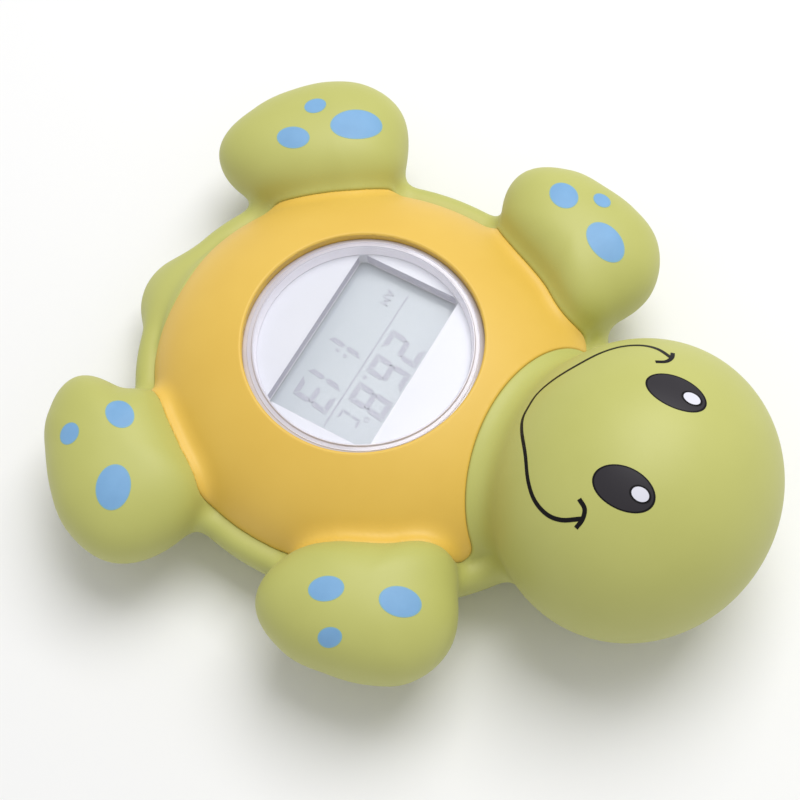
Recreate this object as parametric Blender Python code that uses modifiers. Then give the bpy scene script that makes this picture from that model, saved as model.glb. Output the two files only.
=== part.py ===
"""Floating turtle bath thermometer: a hollow two-shell turtle that carries a sealed round display capsule.

Frame: metres, +Z up, the head points along -Y. The origin is the middle of the footprint, on the surface
that the turtle stands on. Heights in the comments are measured from that surface.
"""

import math

import bmesh
import bpy
from mathutils import Vector

MM = 0.001

# ---- driving dimensions -------------------------------------------------------------------------
GAP = 0.3 * MM  # clearance between touching pieces
WINDOW_Y = 15.0 * MM  # the capsule's upright axis stands behind the middle of the footprint
WINDOW_RADIUS = 22.2 * MM  # opening in the carapace
SHELL_WALL = 1.8 * MM
SEAM_Z = 10.0 * MM  # parting line between the two green shells

DOME_RADIUS = 39.6 * MM  # the carapace is an ellipsoid that is longer towards the head and the tail
DOME_RISE = 21.2 * MM
DOME_Z = 11.7 * MM
CARAPACE_WALL = 1.8 * MM
CARAPACE_EDGE_Z = 16.2 * MM
FRONT_STRETCH = 1.15
REAR_STRETCH = 1.07
HEAD_COLLAR = 3.4 * MM  # green left showing between the head and the carapace
FLIPPER_COLLAR = 1.0 * MM
TAIL_COLLAR = 0.5 * MM
DOME_INNER_RADIUS = 19.0 * MM  # inside the window's opening
DOME_STEPS = 7

RIM_RADIUS = 42.8 * MM
RIM_ROUND = 2.7 * MM
BASE_RADIUS = 33.0 * MM

HEAD_CENTRE = Vector((0.0, -40.6, 23.7)) * MM
HEAD_SEMI_AXES = Vector((27.9, 25.1, 23.4)) * MM
TAIL_CENTRE = Vector((-1.5, 52.3, 10.4)) * MM
TAIL_SEMI_AXES = Vector((12.0, 12.8, 7.2)) * MM

# Flipper outlines in plan: radii at every 30 degrees about the flipper's centre, counted from outwards.
# The front pair is mirrored. The rear pair isn't quite: the turtle's left one, at +X, reaches further back.
FLIPPER_HALF_HEIGHT = 11.0 * MM
FLIPPER_PUFF = 2.3  # 2 is an ellipsoid, and more is a fuller pillow
FRONT_FLIPPER_CENTRE = Vector((40.0, -8.0, 19.1)) * MM
FRONT_FLIPPER_RADII = [
    r * MM for r in (14.3, 16.8, 19.1, 15.7, 11.6, 9.8, 11.0, 16.8, 16.5, 17.2, 16.4, 14.5)
]
REAR_FLIPPER_CENTRE = Vector((38.0, 46.0, 17.0)) * MM
REAR_LEFT_RADII = [
    r * MM for r in (16.6, 15.6, 15.9, 18.6, 22.4, 18.2, 13.9, 12.2, 13.4, 15.5, 15.9, 17.1)
]
REAR_RIGHT_RADII = [
    r * MM for r in (16.7, 13.9, 13.6, 16.1, 18.3, 13.4, 13.9, 12.2, 13.4, 18.3, 19.4, 19.4)
]

# Capsule, from the top down.
LENS_RADIUS = 21.8 * MM
LENS_TOP_Z = 28.2 * MM
LENS_THICKNESS = 2.0 * MM
LENS_SKIRT_WALL = 1.3 * MM
LENS_SHOULDER = 1.0 * MM  # the plate around the display stops against it
LENS_EDGE_ROUND = 0.9 * MM
LENS_BOTTOM_Z = 17.0 * MM
BEZEL_RADIUS = 20.0 * MM
BEZEL_TOP_Z = 24.9 * MM
BEZEL_THICKNESS = 2.0 * MM
APERTURE_SIZE = Vector((32.4, 19.8)) * MM
APERTURE_CORNER = 0.6 * MM
LCD_SIZE = Vector((33.0, 20.6)) * MM
LCD_THICKNESS = 2.4 * MM
ZEBRA_SIZE = Vector((28.0, 2.0)) * MM
PCB_RADIUS = 19.6 * MM
PCB_TOP_Z = 15.8 * MM
PCB_THICKNESS = 1.6 * MM
POST_SPOTS = [Vector((sx * 8.0, sy * 14.2)) * MM for sx in (-1, 1) for sy in (-1, 1)]
POST_RADIUS = 2.0 * MM
POST_PILOT_RADIUS = 0.9 * MM
POST_PILOT_DEPTH = 5.0 * MM
BOARD_HOLE_RADIUS = 1.15 * MM
BOARD_SCREW_REACH = 4.5 * MM  # above the board

CUP_BOTTOM_Z = 0.8 * MM
CUP_FLOOR = 2.4 * MM
CUP_TOP_Z = 15.7 * MM
FLANGE_RADIUS = 28.5 * MM
FLANGE_THICKNESS = 1.8 * MM
FLANGE_SCREW_SEAT_Z = 1.9 * MM
WELL_RADIUS = 22.1 * MM
WELL_WALL = 1.6 * MM
WELL_TOP_Z = 26.2 * MM
RECESS_RADIUS = 28.9 * MM
RECESS_Z = 4.0 * MM
BOSS_RADIUS = 2.9 * MM  # the flange screws bite into bosses inside the lower shell
BOSS_TOP_Z = 12.5 * MM
BOSS_PILOT_RADIUS = 1.2 * MM
BOSS_PILOT_TOP_Z = 11.3 * MM

DOOR_RADIUS = 12.6 * MM
DOOR_FLANGE = 1.2 * MM
PLUG_RADIUS = 11.4 * MM
DOOR_HOLE_RADIUS = 11.75 * MM
COIN_SLOT_SIZE = Vector((16.0, 2.0, 2.4)) * MM  # half of its height is in the door
SEAL_GROOVE_Z = (3.2 * MM, 4.6 * MM)
SEAL_GROOVE_DEPTH = 1.1 * MM
BATTERY_WELL_WALL = 1.6 * MM
CELL_RADIUS = 10.0 * MM
CELL_THICKNESS = 3.2 * MM
CELL_BOTTOM_Z = 6.2 * MM
BUTTON_OFFSET = 16.7 * MM  # the two buttons stand left and right of the battery door
BUTTON_RADIUS = 1.9 * MM
BUTTON_COLLAR_RADIUS = 2.9 * MM
BUTTON_TRAVEL = 1.0 * MM
PROBE_OFFSET = 16.5 * MM  # the sensor cap stands on the head's side of the battery door
PROBE_RADIUS = 3.0 * MM
PROBE_STEM_RADIUS = 2.1 * MM
FLANGE_SCREW_OFFSET = 25.9 * MM
FLANGE_SCREW_TIP_Z = 10.8 * MM
FLANGE_HOLE_RADIUS = 1.15 * MM
FLANGE_SEAT_RADIUS = 1.8 * MM
FLANGE_SCREW_ANGLES = [math.radians(a) for a in (90.0, 210.0, 330.0)]

ROUND_STEPS = 40
BODY_STEPS = 48
PAST = 1.0 * MM  # a cutter runs this far past the face that it cuts
ABOVE_ALL = 60.0 * MM


# ---- scene, materials and small tools -------------------------------------------------------------
def clear_scene():
    for obj in list(bpy.data.objects):
        bpy.data.objects.remove(obj)


def new_collection(name, hidden=False):
    collection = bpy.data.collections.new(name)
    collection.hide_render = hidden
    bpy.context.scene.collection.children.link(collection)
    return collection


def material(name, colour, roughness, metallic=0.0):
    made = bpy.data.materials.new(name)
    made.use_nodes = True
    shader = made.node_tree.nodes["Principled BSDF"]
    shader.inputs["Base Color"].default_value = (*colour, 1.0)
    shader.inputs["Roughness"].default_value = roughness
    shader.inputs["Metallic"].default_value = metallic
    return made


def object_from(bm, name, location=(0.0, 0.0, 0.0)):
    """A part from a bmesh, shaded smooth except at sharp edges."""
    mesh = bpy.data.meshes.new(name)
    bm.to_mesh(mesh)
    bm.free()
    mesh.shade_smooth()
    mesh.set_sharp_from_angle(angle=math.radians(35.0))
    obj = bpy.data.objects.new(name, mesh)
    obj.location = location
    PARTS.objects.link(obj)
    return obj


def as_cutter(obj):
    PARTS.objects.unlink(obj)
    CUTTERS.objects.link(obj)
    obj.hide_render = True
    obj.display_type = "WIRE"
    return obj


def painted(obj, finish):
    obj.data.materials.clear()
    obj.data.materials.append(finish)
    return obj


def baked(obj):
    """Replaces an object's mesh by its evaluated one, so that modifiers and cutters are no longer needed."""
    bpy.context.view_layer.update()
    graph = bpy.context.evaluated_depsgraph_get()
    mesh = bpy.data.meshes.new_from_object(obj.evaluated_get(graph))
    obj.modifiers.clear()
    obj.data = mesh
    return obj


def boolean(obj, operation, *others):
    for other in others:
        step = obj.modifiers.new(other.name, "BOOLEAN")
        step.operation = operation
        step.solver = "EXACT"
        step.object = other
    baked(obj)
    for other in others:
        bpy.data.objects.remove(other)
    return obj


def cut(obj, *cutters):
    return boolean(obj, "DIFFERENCE", *[as_cutter(c) for c in cutters])


def join(obj, *others):
    return boolean(obj, "UNION", *others)


def cylinder(name, radius, low, high, x=0.0, y=0.0, steps=24):
    bm = bmesh.new()
    bmesh.ops.create_cone(
        bm, cap_ends=True, segments=steps, radius1=radius, radius2=radius, depth=high - low
    )
    return object_from(bm, name, (x, y, (low + high) / 2))


def box(name, size, centre):
    bm = bmesh.new()
    bmesh.ops.create_cube(bm, size=1.0)
    bmesh.ops.scale(bm, vec=size, verts=bm.verts)
    return object_from(bm, name, centre)


def turned(name, profile, x=0.0, y=0.0, steps=ROUND_STEPS, closed=False):
    """A profile of (radius, height) points turned about an upright axis. It runs down its outer side."""
    bm = bmesh.new()
    points = [bm.verts.new((r, 0.0, z)) for r, z in profile]
    for first, second in zip(points, points[1:]):
        bm.edges.new((first, second))
    if closed:
        bm.edges.new((points[-1], points[0]))
    obj = object_from(bm, name, (x, y, 0.0))
    screw = obj.modifiers.new("Turn", "SCREW")
    screw.steps = screw.render_steps = steps
    screw.use_merge_vertices = True
    screw.merge_threshold = 0.00005
    screw.use_smooth_shade = True
    return baked(obj)


def ring(name, inner, outer, low, high, x=0.0, y=0.0, steps=ROUND_STEPS):
    profile = [(inner, high), (outer, high), (outer, low), (inner, low)]
    return turned(name, profile, x, y, steps, closed=True)


def rounded_box(name, size, centre, radius, height):
    """A flat plate with rounded upright corners: a 2D curve's outline, extruded by half its thickness."""
    curve = bpy.data.curves.new(name, "CURVE")
    curve.dimensions = "2D"
    curve.fill_mode = "BOTH"
    curve.extrude = height / 2
    spline = curve.splines.new("POLY")
    corners = []
    for quarter, (sx, sy) in enumerate(((1, 1), (-1, 1), (-1, -1), (1, -1))):
        for step in range(4):
            angle = math.pi / 2 * (quarter + step / 3)
            corners.append(
                (
                    sx * (size.x / 2 - radius) + radius * math.cos(angle),
                    sy * (size.y / 2 - radius) + radius * math.sin(angle),
                )
            )
    spline.points.add(len(corners) - 1)
    for point, (px, py) in zip(spline.points, corners):
        point.co = (px, py, 0.0, 1.0)
    spline.use_cyclic_u = True
    obj = bpy.data.objects.new(name, curve)
    obj.location = centre
    PARTS.objects.link(obj)
    return mesh_from_curve(obj)


def mesh_from_curve(obj):
    """A curve as a closed mesh, so that it can be cut or joined."""
    bpy.context.view_layer.update()
    graph = bpy.context.evaluated_depsgraph_get()
    bm = bmesh.new()
    bm.from_mesh(bpy.data.meshes.new_from_object(obj.evaluated_get(graph)))
    bmesh.ops.remove_doubles(bm, verts=bm.verts, dist=0.00001)
    name, matrix = obj.name, obj.matrix_world.copy()
    bpy.data.objects.remove(obj)
    made = object_from(bm, name)
    made.name = name
    made.matrix_world = matrix
    return made


def wire(name, points, radius, finish):
    """A bare or insulated lead along the given points."""
    curve = bpy.data.curves.new(name, "CURVE")
    curve.dimensions = "3D"
    curve.bevel_depth = radius
    curve.bevel_resolution = 2
    curve.use_fill_caps = True
    spline = curve.splines.new("POLY")
    spline.points.add(len(points) - 1)
    for point, place in zip(spline.points, points):
        point.co = (*place, 1.0)
    curve.materials.append(finish)
    obj = bpy.data.objects.new(name, curve)
    PARTS.objects.link(obj)
    return obj


# ---- soft body shapes ------------------------------------------------------------------------------
def periodic(radii, angle):
    """Smooth closed interpolation of evenly spaced radii: a Catmull-Rom spline in the angle."""
    place = angle / (2 * math.pi) * len(radii) % len(radii)
    index = int(place)
    t = place - index
    before, here, after, later = (radii[(index + k) % len(radii)] for k in (-1, 0, 1, 2))
    return 0.5 * (
        2 * here
        + (after - before) * t
        + (2 * before - 5 * here + 4 * after - later) * t**2
        + (3 * here - before - 3 * after + later) * t**3
    )


def sphere(around, up):
    bm = bmesh.new()
    bmesh.ops.create_uvsphere(bm, u_segments=around, v_segments=up, radius=1.0)
    return bm


def ellipsoid(name, centre, semi_axes, inset, around=32, up=16):
    bm = sphere(around, up)
    bmesh.ops.scale(bm, vec=semi_axes - Vector((inset,) * 3), verts=bm.verts)
    return object_from(bm, name, centre)


def flipper(name, centre, radii, side, inset, around=26, up=10):
    """A pillow over the flipper's outline: a sphere whose rings follow the outline."""
    bm = sphere(around, up)
    for vert in bm.verts:
        level = max(-1.0, min(1.0, vert.co.z))
        spread = math.hypot(vert.co.x, vert.co.y)
        size = (spread**FLIPPER_PUFF + abs(level) ** FLIPPER_PUFF) ** (1 / FLIPPER_PUFF)
        angle = math.atan2(vert.co.y, vert.co.x)
        reach = (periodic(radii, angle) - inset) * spread / size
        vert.co = (
            side * reach * math.cos(angle),
            reach * math.sin(angle),
            (FLIPPER_HALF_HEIGHT - inset) * level / size,
        )
    if side < 0:
        bmesh.ops.reverse_faces(bm, faces=bm.faces)
    return object_from(bm, name, (side * centre.x, centre.y, centre.z))


def flippers(inset, around=26, up=10):
    made = []
    for side, rear_radii in ((1, REAR_LEFT_RADII), (-1, REAR_RIGHT_RADII)):
        made.append(flipper("front", FRONT_FLIPPER_CENTRE, FRONT_FLIPPER_RADII, side, inset, around, up))
        made.append(flipper("rear", REAR_FLIPPER_CENTRE, rear_radii, side, inset, around, up))
    return made


def head(inset, around=36, up=18):
    return ellipsoid("head", HEAD_CENTRE, HEAD_SEMI_AXES, inset, around, up)


def tail(inset, around=20, up=12):
    return ellipsoid("tail", TAIL_CENTRE, TAIL_SEMI_AXES, inset, around, up)


def dome_arc(inset, lowest, highest_radius):
    """The dome's upright section from near its axis down to its edge. Every inset has facets in parallel."""
    low = math.asin((lowest - DOME_Z) / (DOME_RISE - inset))
    high = math.acos(highest_radius / DOME_RADIUS)
    found = []
    for step in range(DOME_STEPS + 1):
        angle = high + (low - high) * step / DOME_STEPS
        radius = (DOME_RADIUS - inset) * math.cos(angle)
        found.append((radius, DOME_Z + (DOME_RISE - inset) * math.sin(angle)))
    return found


def arc(centre, semi_r, semi_z, start, end, steps):
    """Points of an ellipse's arc in (radius, height), angles in degrees from outwards, counted upwards."""
    found = []
    for step in range(steps + 1):
        angle = math.radians(start + (end - start) * step / steps)
        found.append((centre[0] + semi_r * math.cos(angle), centre[1] + semi_z * math.sin(angle)))
    return found


def stretched(obj):
    """Lengthens a turned body towards the head and the tail, from the window's axis."""
    for vert in obj.data.vertices:
        vert.co.y *= FRONT_STRETCH if vert.co.y < 0 else REAR_STRETCH
    return obj


def hull(inset, steps=BODY_STEPS):
    """The body without head, flippers and tail: a bowl, a rounded rim and the deck below the carapace."""
    deck_inset = CARAPACE_WALL + GAP + inset
    ledge_z = CARAPACE_EDGE_Z - GAP - inset
    dome = dome_arc(deck_inset, ledge_z, DOME_INNER_RADIUS)
    rim_centre = (RIM_RADIUS - RIM_ROUND, ledge_z - RIM_ROUND + inset)
    rim = arc(rim_centre, RIM_ROUND - inset, RIM_ROUND - inset, 80, 0, 4)
    bowl_depth = rim_centre[1]
    bowl = arc((BASE_RADIUS, bowl_depth), RIM_RADIUS - BASE_RADIUS - inset, bowl_depth - inset, -15, -90, 6)
    profile = [(0.0, dome[0][1])] + dome + rim + bowl + [(0.0, inset)]
    return stretched(turned("hull", profile, 0.0, WINDOW_Y, steps))


def turtle_form(inset, fine=1.0):
    """The whole green body as one closed form, pulled in by an inset."""
    body = hull(inset, int(BODY_STEPS * fine))
    others = flippers(inset, int(26 * fine), int(10 * fine))
    others.append(head(inset, int(36 * fine), int(18 * fine)))
    others.append(tail(inset, int(20 * fine), int(12 * fine)))
    return join(body, *others)


# ---- turtle shells ---------------------------------------------------------------------------------
def half_space(name, low, high):
    side = 200 * MM
    return box(name, (side, side, high - low), (0.0, 0.0, (low + high) / 2))


def flange_screw_spots():
    return [
        (FLANGE_SCREW_OFFSET * math.cos(a), WINDOW_Y + FLANGE_SCREW_OFFSET * math.sin(a))
        for a in FLANGE_SCREW_ANGLES
    ]


def at_flange_screws(name, radius, low, high):
    return [
        cylinder(f"{name}_{index}", radius, low, high, x, y, 16)
        for index, (x, y) in enumerate(flange_screw_spots())
    ]


def make_upper_shell():
    shell = turtle_form(0.0)
    shell.name = "upper_shell"
    cut(
        shell,
        half_space("below_seam", -ABOVE_ALL, SEAM_Z + GAP / 2),
        turtle_form(SHELL_WALL, 0.5),
        cylinder("deck_opening", WELL_RADIUS + WELL_WALL + GAP, 0.0, ABOVE_ALL, 0.0, WINDOW_Y, ROUND_STEPS),
    )
    return painted(shell, GREEN)


def make_lower_shell():
    shell = turtle_form(0.0)
    shell.name = "lower_shell"
    cut(shell, half_space("above_seam", SEAM_Z - GAP / 2, ABOVE_ALL), turtle_form(SHELL_WALL, 0.5))
    well_outer = WELL_RADIUS + WELL_WALL
    floor = RECESS_Z + SHELL_WALL
    join(
        shell,
        cylinder("seat", RECESS_RADIUS + SHELL_WALL, 0.2 * MM, floor, 0.0, WINDOW_Y, ROUND_STEPS),
        cylinder("well", well_outer, RECESS_Z, WELL_TOP_Z, 0.0, WINDOW_Y, ROUND_STEPS),
        *at_flange_screws("boss", BOSS_RADIUS, RECESS_Z, BOSS_TOP_Z),
    )
    cut(
        shell,
        cylinder("recess", RECESS_RADIUS, -PAST, RECESS_Z, 0.0, WINDOW_Y, ROUND_STEPS),
        cylinder("bore", WELL_RADIUS, -PAST, ABOVE_ALL, 0.0, WINDOW_Y, ROUND_STEPS),
        *at_flange_screws("pilot", BOSS_PILOT_RADIUS, -PAST, BOSS_PILOT_TOP_Z),
    )
    return painted(shell, GREEN)


def make_carapace():
    """The yellow dome, cut away where the head, the tail and the flippers come through it."""
    outer = dome_arc(0.0, CARAPACE_EDGE_Z, DOME_INNER_RADIUS)
    inner = dome_arc(CARAPACE_WALL, CARAPACE_EDGE_Z, DOME_INNER_RADIUS)
    inner.reverse()
    dome = stretched(turned("carapace", outer + inner, 0.0, WINDOW_Y, BODY_STEPS, closed=True))
    opening = cylinder("opening", WINDOW_RADIUS, 0.0, ABOVE_ALL, 0.0, WINDOW_Y, 64)
    cut(dome, opening, head(-HEAD_COLLAR), tail(-TAIL_COLLAR), *flippers(-FLIPPER_COLLAR))
    return painted(dome, YELLOW)


# ---- display capsule -------------------------------------------------------------------------------
def make_window_lens():
    """A clear cap: a thick flat top with a rounded edge, and a skirt that reaches down to the cup."""
    edge_centre = (LENS_RADIUS - LENS_EDGE_ROUND, LENS_TOP_Z - LENS_EDGE_ROUND)
    edge = arc(edge_centre, LENS_EDGE_ROUND, LENS_EDGE_ROUND, 90, 0, 3)
    inside = LENS_RADIUS - LENS_SKIRT_WALL
    under = LENS_TOP_Z - LENS_THICKNESS
    profile = [(0.0, LENS_TOP_Z)] + edge + [(LENS_RADIUS, LENS_BOTTOM_Z), (inside, LENS_BOTTOM_Z)]
    shoulder_z = BEZEL_TOP_Z + GAP
    profile += [(inside, shoulder_z), (inside - LENS_SHOULDER, shoulder_z), (inside - LENS_SHOULDER, under)]
    profile.append((0.0, under))
    return painted(turned("window_lens", profile, 0.0, WINDOW_Y), CLEAR)


def make_lens_seal():
    inner = LENS_RADIUS - LENS_SKIRT_WALL + 0.1 * MM
    low, high = CUP_TOP_Z + GAP, LENS_BOTTOM_Z - GAP
    return painted(ring("lens_seal", inner, LENS_RADIUS - 0.2 * MM, low, high, 0.0, WINDOW_Y), RUBBER)


def at_posts(name, radius, low, high):
    return [
        cylinder(f"{name}_{index}", radius, low, high, spot.x, WINDOW_Y + spot.y, 14)
        for index, spot in enumerate(POST_SPOTS)
    ]


def make_bezel_plate():
    """The white plate around the display, with four posts that the circuit board is screwed to."""
    low = BEZEL_TOP_Z - BEZEL_THICKNESS
    plate = cylinder("bezel_plate", BEZEL_RADIUS, low, BEZEL_TOP_Z, 0.0, WINDOW_Y, ROUND_STEPS)
    foot = PCB_TOP_Z + GAP
    join(plate, *at_posts("post", POST_RADIUS, foot, low + PAST))
    middle = (0.0, WINDOW_Y, (low + BEZEL_TOP_Z) / 2)
    window = rounded_box("aperture", APERTURE_SIZE, middle, APERTURE_CORNER, BEZEL_THICKNESS + 2 * PAST)
    cut(plate, window, *at_posts("pilot", POST_PILOT_RADIUS, foot - PAST, foot + POST_PILOT_DEPTH))
    return painted(plate, WHITE)


def make_lcd():
    top = BEZEL_TOP_Z - BEZEL_THICKNESS - GAP
    centre = (0.0, WINDOW_Y, top - LCD_THICKNESS / 2)
    painted(box("lcd_glass", (LCD_SIZE.x, LCD_SIZE.y, LCD_THICKNESS), centre), GLASS)
    bottom = top - LCD_THICKNESS
    strip_low, strip_high = PCB_TOP_Z + GAP, bottom - GAP
    for label, side in (("front", -1), ("rear", 1)):
        across = side * (LCD_SIZE.y - ZEBRA_SIZE.y - 1 * MM) / 2
        place = (0.0, WINDOW_Y + across, (strip_low + strip_high) / 2)
        strip = box(f"zebra_strip_{label}", (ZEBRA_SIZE.x, ZEBRA_SIZE.y, strip_high - strip_low), place)
        painted(strip, RUBBER)


def make_circuit_board():
    low = PCB_TOP_Z - PCB_THICKNESS
    board = cylinder("circuit_board", PCB_RADIUS, low, PCB_TOP_Z, 0.0, WINDOW_Y, ROUND_STEPS)
    cut(board, *at_posts("hole", BOARD_HOLE_RADIUS, low - PAST, PCB_TOP_Z + PAST))
    painted(board, BOARD)
    top = PCB_TOP_Z + GAP
    blob = ellipsoid("controller_blob", (0.0, WINDOW_Y, top), Vector((5.0, 5.0, 1.8)) * MM, 0.0, 20, 10)
    cut(blob, half_space("board_side", 0.0, top))
    painted(blob, EPOXY)
    can_radius, can_length = 1.0 * MM, 6.0 * MM
    crystal = cylinder("clock_crystal", can_radius, -can_length / 2, can_length / 2, steps=12)
    crystal.rotation_euler = (math.pi / 2, 0.0, 0.0)
    crystal.location = (11.0 * MM, WINDOW_Y, top + can_radius)
    painted(crystal, STEEL)
    tip = PCB_TOP_Z + BOARD_SCREW_REACH
    for index, spot in enumerate(POST_SPOTS):
        name = f"board_screw_{index + 1}"
        make_screw(name, spot.x, WINDOW_Y + spot.y, low - GAP, tip, 1.7 * MM, 0.8 * MM)


def make_screw(name, x, y, seat, tip, head_radius, shank_radius):
    """A pan-head screw driven from below, with a cross recess in its head."""
    head_height = 0.47 * head_radius
    rim = 0.25 * head_radius
    profile = [
        (0.0, tip),
        (shank_radius, tip - shank_radius),
        (shank_radius, seat),
        (head_radius, seat),
        (head_radius, seat - head_height + rim),
        (head_radius - rim, seat - head_height),
        (0.0, seat - head_height),
    ]
    screw = turned(name, profile, x, y, 20)
    depth = 0.55 * head_height
    long, short = 1.2 * head_radius, 0.3 * head_radius
    place = (x, y, seat - head_height)
    across = box("slot_across", (short, long, 2 * depth), place)
    cut(screw, join(box("slot", (long, short, 2 * depth), place), across))
    return painted(screw, STEEL)


def make_module_cup():
    """The white back of the capsule: wall, floor, flange, battery well, board ribs and the floor's holes."""
    floor_top = CUP_BOTTOM_Z + CUP_FLOOR
    flange_top = CUP_BOTTOM_Z + FLANGE_THICKNESS
    inside = LENS_RADIUS - LENS_SKIRT_WALL
    profile = [
        (0.0, floor_top),
        (inside, floor_top),
        (inside, CUP_TOP_Z),
        (LENS_RADIUS, CUP_TOP_Z),
        (LENS_RADIUS, flange_top),
        (FLANGE_RADIUS, flange_top),
        (FLANGE_RADIUS, CUP_BOTTOM_Z),
        (0.0, CUP_BOTTOM_Z),
    ]
    cup = turned("module_cup", profile, 0.0, WINDOW_Y)
    well_radius = DOOR_HOLE_RADIUS + BATTERY_WELL_WALL
    well_high = CELL_BOTTOM_Z + CELL_THICKNESS - 0.4 * MM
    well = cylinder("battery_well", well_radius, CUP_BOTTOM_Z + PAST, well_high, 0.0, WINDOW_Y, ROUND_STEPS)
    join(cup, well, *board_ribs())
    seat_top = CUP_BOTTOM_Z + DOOR_FLANGE + GAP
    through = (-PAST, floor_top + PAST)
    cut(
        cup,
        cylinder("door_hole", DOOR_HOLE_RADIUS, -PAST, well_high + PAST, 0.0, WINDOW_Y, ROUND_STEPS),
        cylinder("door_seat", DOOR_RADIUS + GAP, -PAST, seat_top, 0.0, WINDOW_Y, ROUND_STEPS),
        cylinder("mode_hole", BUTTON_RADIUS + GAP, *through, -BUTTON_OFFSET, WINDOW_Y, 20),
        cylinder("set_hole", BUTTON_RADIUS + GAP, *through, BUTTON_OFFSET, WINDOW_Y, 20),
        cylinder("probe_hole", PROBE_STEM_RADIUS + GAP, *through, 0.0, WINDOW_Y - PROBE_OFFSET, 20),
        *at_flange_screws("screw_hole", FLANGE_HOLE_RADIUS, *through),
        *at_flange_screws("screw_seat", FLANGE_SEAT_RADIUS, -PAST, FLANGE_SCREW_SEAT_Z),
    )
    return painted(cup, WHITE)


def board_ribs():
    """Four upright ribs on the cup's wall, under the edge of the circuit board."""
    inner = PCB_RADIUS - 0.9 * MM
    outer = LENS_RADIUS - LENS_SKIRT_WALL / 2
    low, high = CUP_BOTTOM_Z + PAST, PCB_TOP_Z - PCB_THICKNESS - GAP
    ribs = []
    for quarter in range(4):
        angle = math.radians(45 + 90 * quarter)
        middle = (inner + outer) / 2
        rib = box(f"rib_{quarter}", (outer - inner, 2 * MM, high - low), (0.0, 0.0, 0.0))
        rib.location = (middle * math.cos(angle), WINDOW_Y + middle * math.sin(angle), (low + high) / 2)
        rib.rotation_euler = (0.0, 0.0, angle)
        ribs.append(rib)
    return ribs


def make_flange_parts():
    """The gasket between the capsule's flange and the turtle, and the three screws that close it."""
    low = CUP_BOTTOM_Z + FLANGE_THICKNESS + GAP
    high = RECESS_Z - GAP
    gasket = ring("flange_gasket", LENS_RADIUS + GAP, FLANGE_RADIUS, low, high, 0.0, WINDOW_Y)
    cut(gasket, *at_flange_screws("gasket_hole", 1.5 * MM, low - PAST, high + PAST))
    painted(gasket, RUBBER)
    seat = FLANGE_SCREW_SEAT_Z - GAP
    for index, (x, y) in enumerate(flange_screw_spots()):
        make_screw(f"flange_screw_{index + 1}", x, y, seat, FLANGE_SCREW_TIP_Z, 1.5 * MM, 0.85 * MM)


def make_coin_cell():
    """The cell lies with its smaller, negative face up."""
    cell_top = CELL_BOTTOM_Z + CELL_THICKNESS
    rim = 0.4 * MM
    step = 0.3 * MM
    face = CELL_RADIUS - 1.6 * MM
    profile = [
        (0.0, cell_top),
        (face, cell_top),
        (face, cell_top - step),
        (CELL_RADIUS - rim, cell_top - step),
        (CELL_RADIUS, cell_top - step - rim),
        (CELL_RADIUS, CELL_BOTTOM_Z + rim),
        (CELL_RADIUS - rim, CELL_BOTTOM_Z),
        (0.0, CELL_BOTTOM_Z),
    ]
    painted(turned("coin_cell", profile, 0.0, WINDOW_Y), STEEL)


def make_contacts():
    """Two sprung leaves that hang from the board: one on the cell's top face, one on its rim."""
    board_low = PCB_TOP_Z - PCB_THICKNESS - GAP
    leaf, width = 0.3 * MM, 4.0 * MM
    top = CELL_BOTTOM_Z + CELL_THICKNESS + GAP + leaf
    top_line = [(-7 * MM, board_low), (-3 * MM, board_low), (3 * MM, top), (6 * MM, top)]
    make_bent_strip("contact_minus", top_line, leaf, width, WINDOW_Y)
    rim_x = CELL_RADIUS + GAP + leaf
    rim_line = [(rim_x, CELL_BOTTOM_Z + 1 * MM), (rim_x, board_low), (rim_x - 3 * MM, board_low)]
    make_bent_strip("contact_plus", rim_line, leaf, width, WINDOW_Y)


def make_battery_door():
    """A round plug with a flange, a coin slot underneath and a sealing ring in its groove."""
    door_low = CUP_BOTTOM_Z
    flange_top = door_low + DOOR_FLANGE
    plug_top = CELL_BOTTOM_Z - GAP
    groove_low, groove_high = SEAL_GROOVE_Z
    groove = PLUG_RADIUS - SEAL_GROOVE_DEPTH
    profile = [
        (0.0, plug_top),
        (PLUG_RADIUS, plug_top),
        (PLUG_RADIUS, groove_high),
        (groove, groove_high),
        (groove, groove_low),
        (PLUG_RADIUS, groove_low),
        (PLUG_RADIUS, flange_top),
        (DOOR_RADIUS, flange_top),
        (DOOR_RADIUS, door_low),
        (0.0, door_low),
    ]
    door = turned("battery_door", profile, 0.0, WINDOW_Y)
    cut(door, box("coin_slot", COIN_SLOT_SIZE, (0.0, WINDOW_Y, door_low)))
    painted(door, WHITE)
    inner, outer = groove + 0.15 * MM, DOOR_HOLE_RADIUS - 0.1 * MM
    middle = ((inner + outer) / 2, (groove_low + groove_high) / 2)
    section = arc(middle, (outer - inner) / 2, 0.5 * MM, 180, -180, 8)[:-1]
    painted(turned("door_seal", section, 0.0, WINDOW_Y, closed=True), RUBBER)


def make_bent_strip(name, line, thickness, width, y):
    """A flat metal strip bent along a line in the XZ plane: an open band with Solidify."""
    bm = bmesh.new()
    near = [bm.verts.new((px, y - width / 2, pz)) for px, pz in line]
    far = [bm.verts.new((px, y + width / 2, pz)) for px, pz in line]
    for k in range(len(line) - 1):
        bm.faces.new((near[k], near[k + 1], far[k + 1], far[k]))
    strip = object_from(bm, name)
    solid = strip.modifiers.new("Thickness", "SOLIDIFY")
    solid.thickness = thickness
    solid.offset = -1.0
    solid.use_even_offset = True
    return painted(strip, STEEL)


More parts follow.
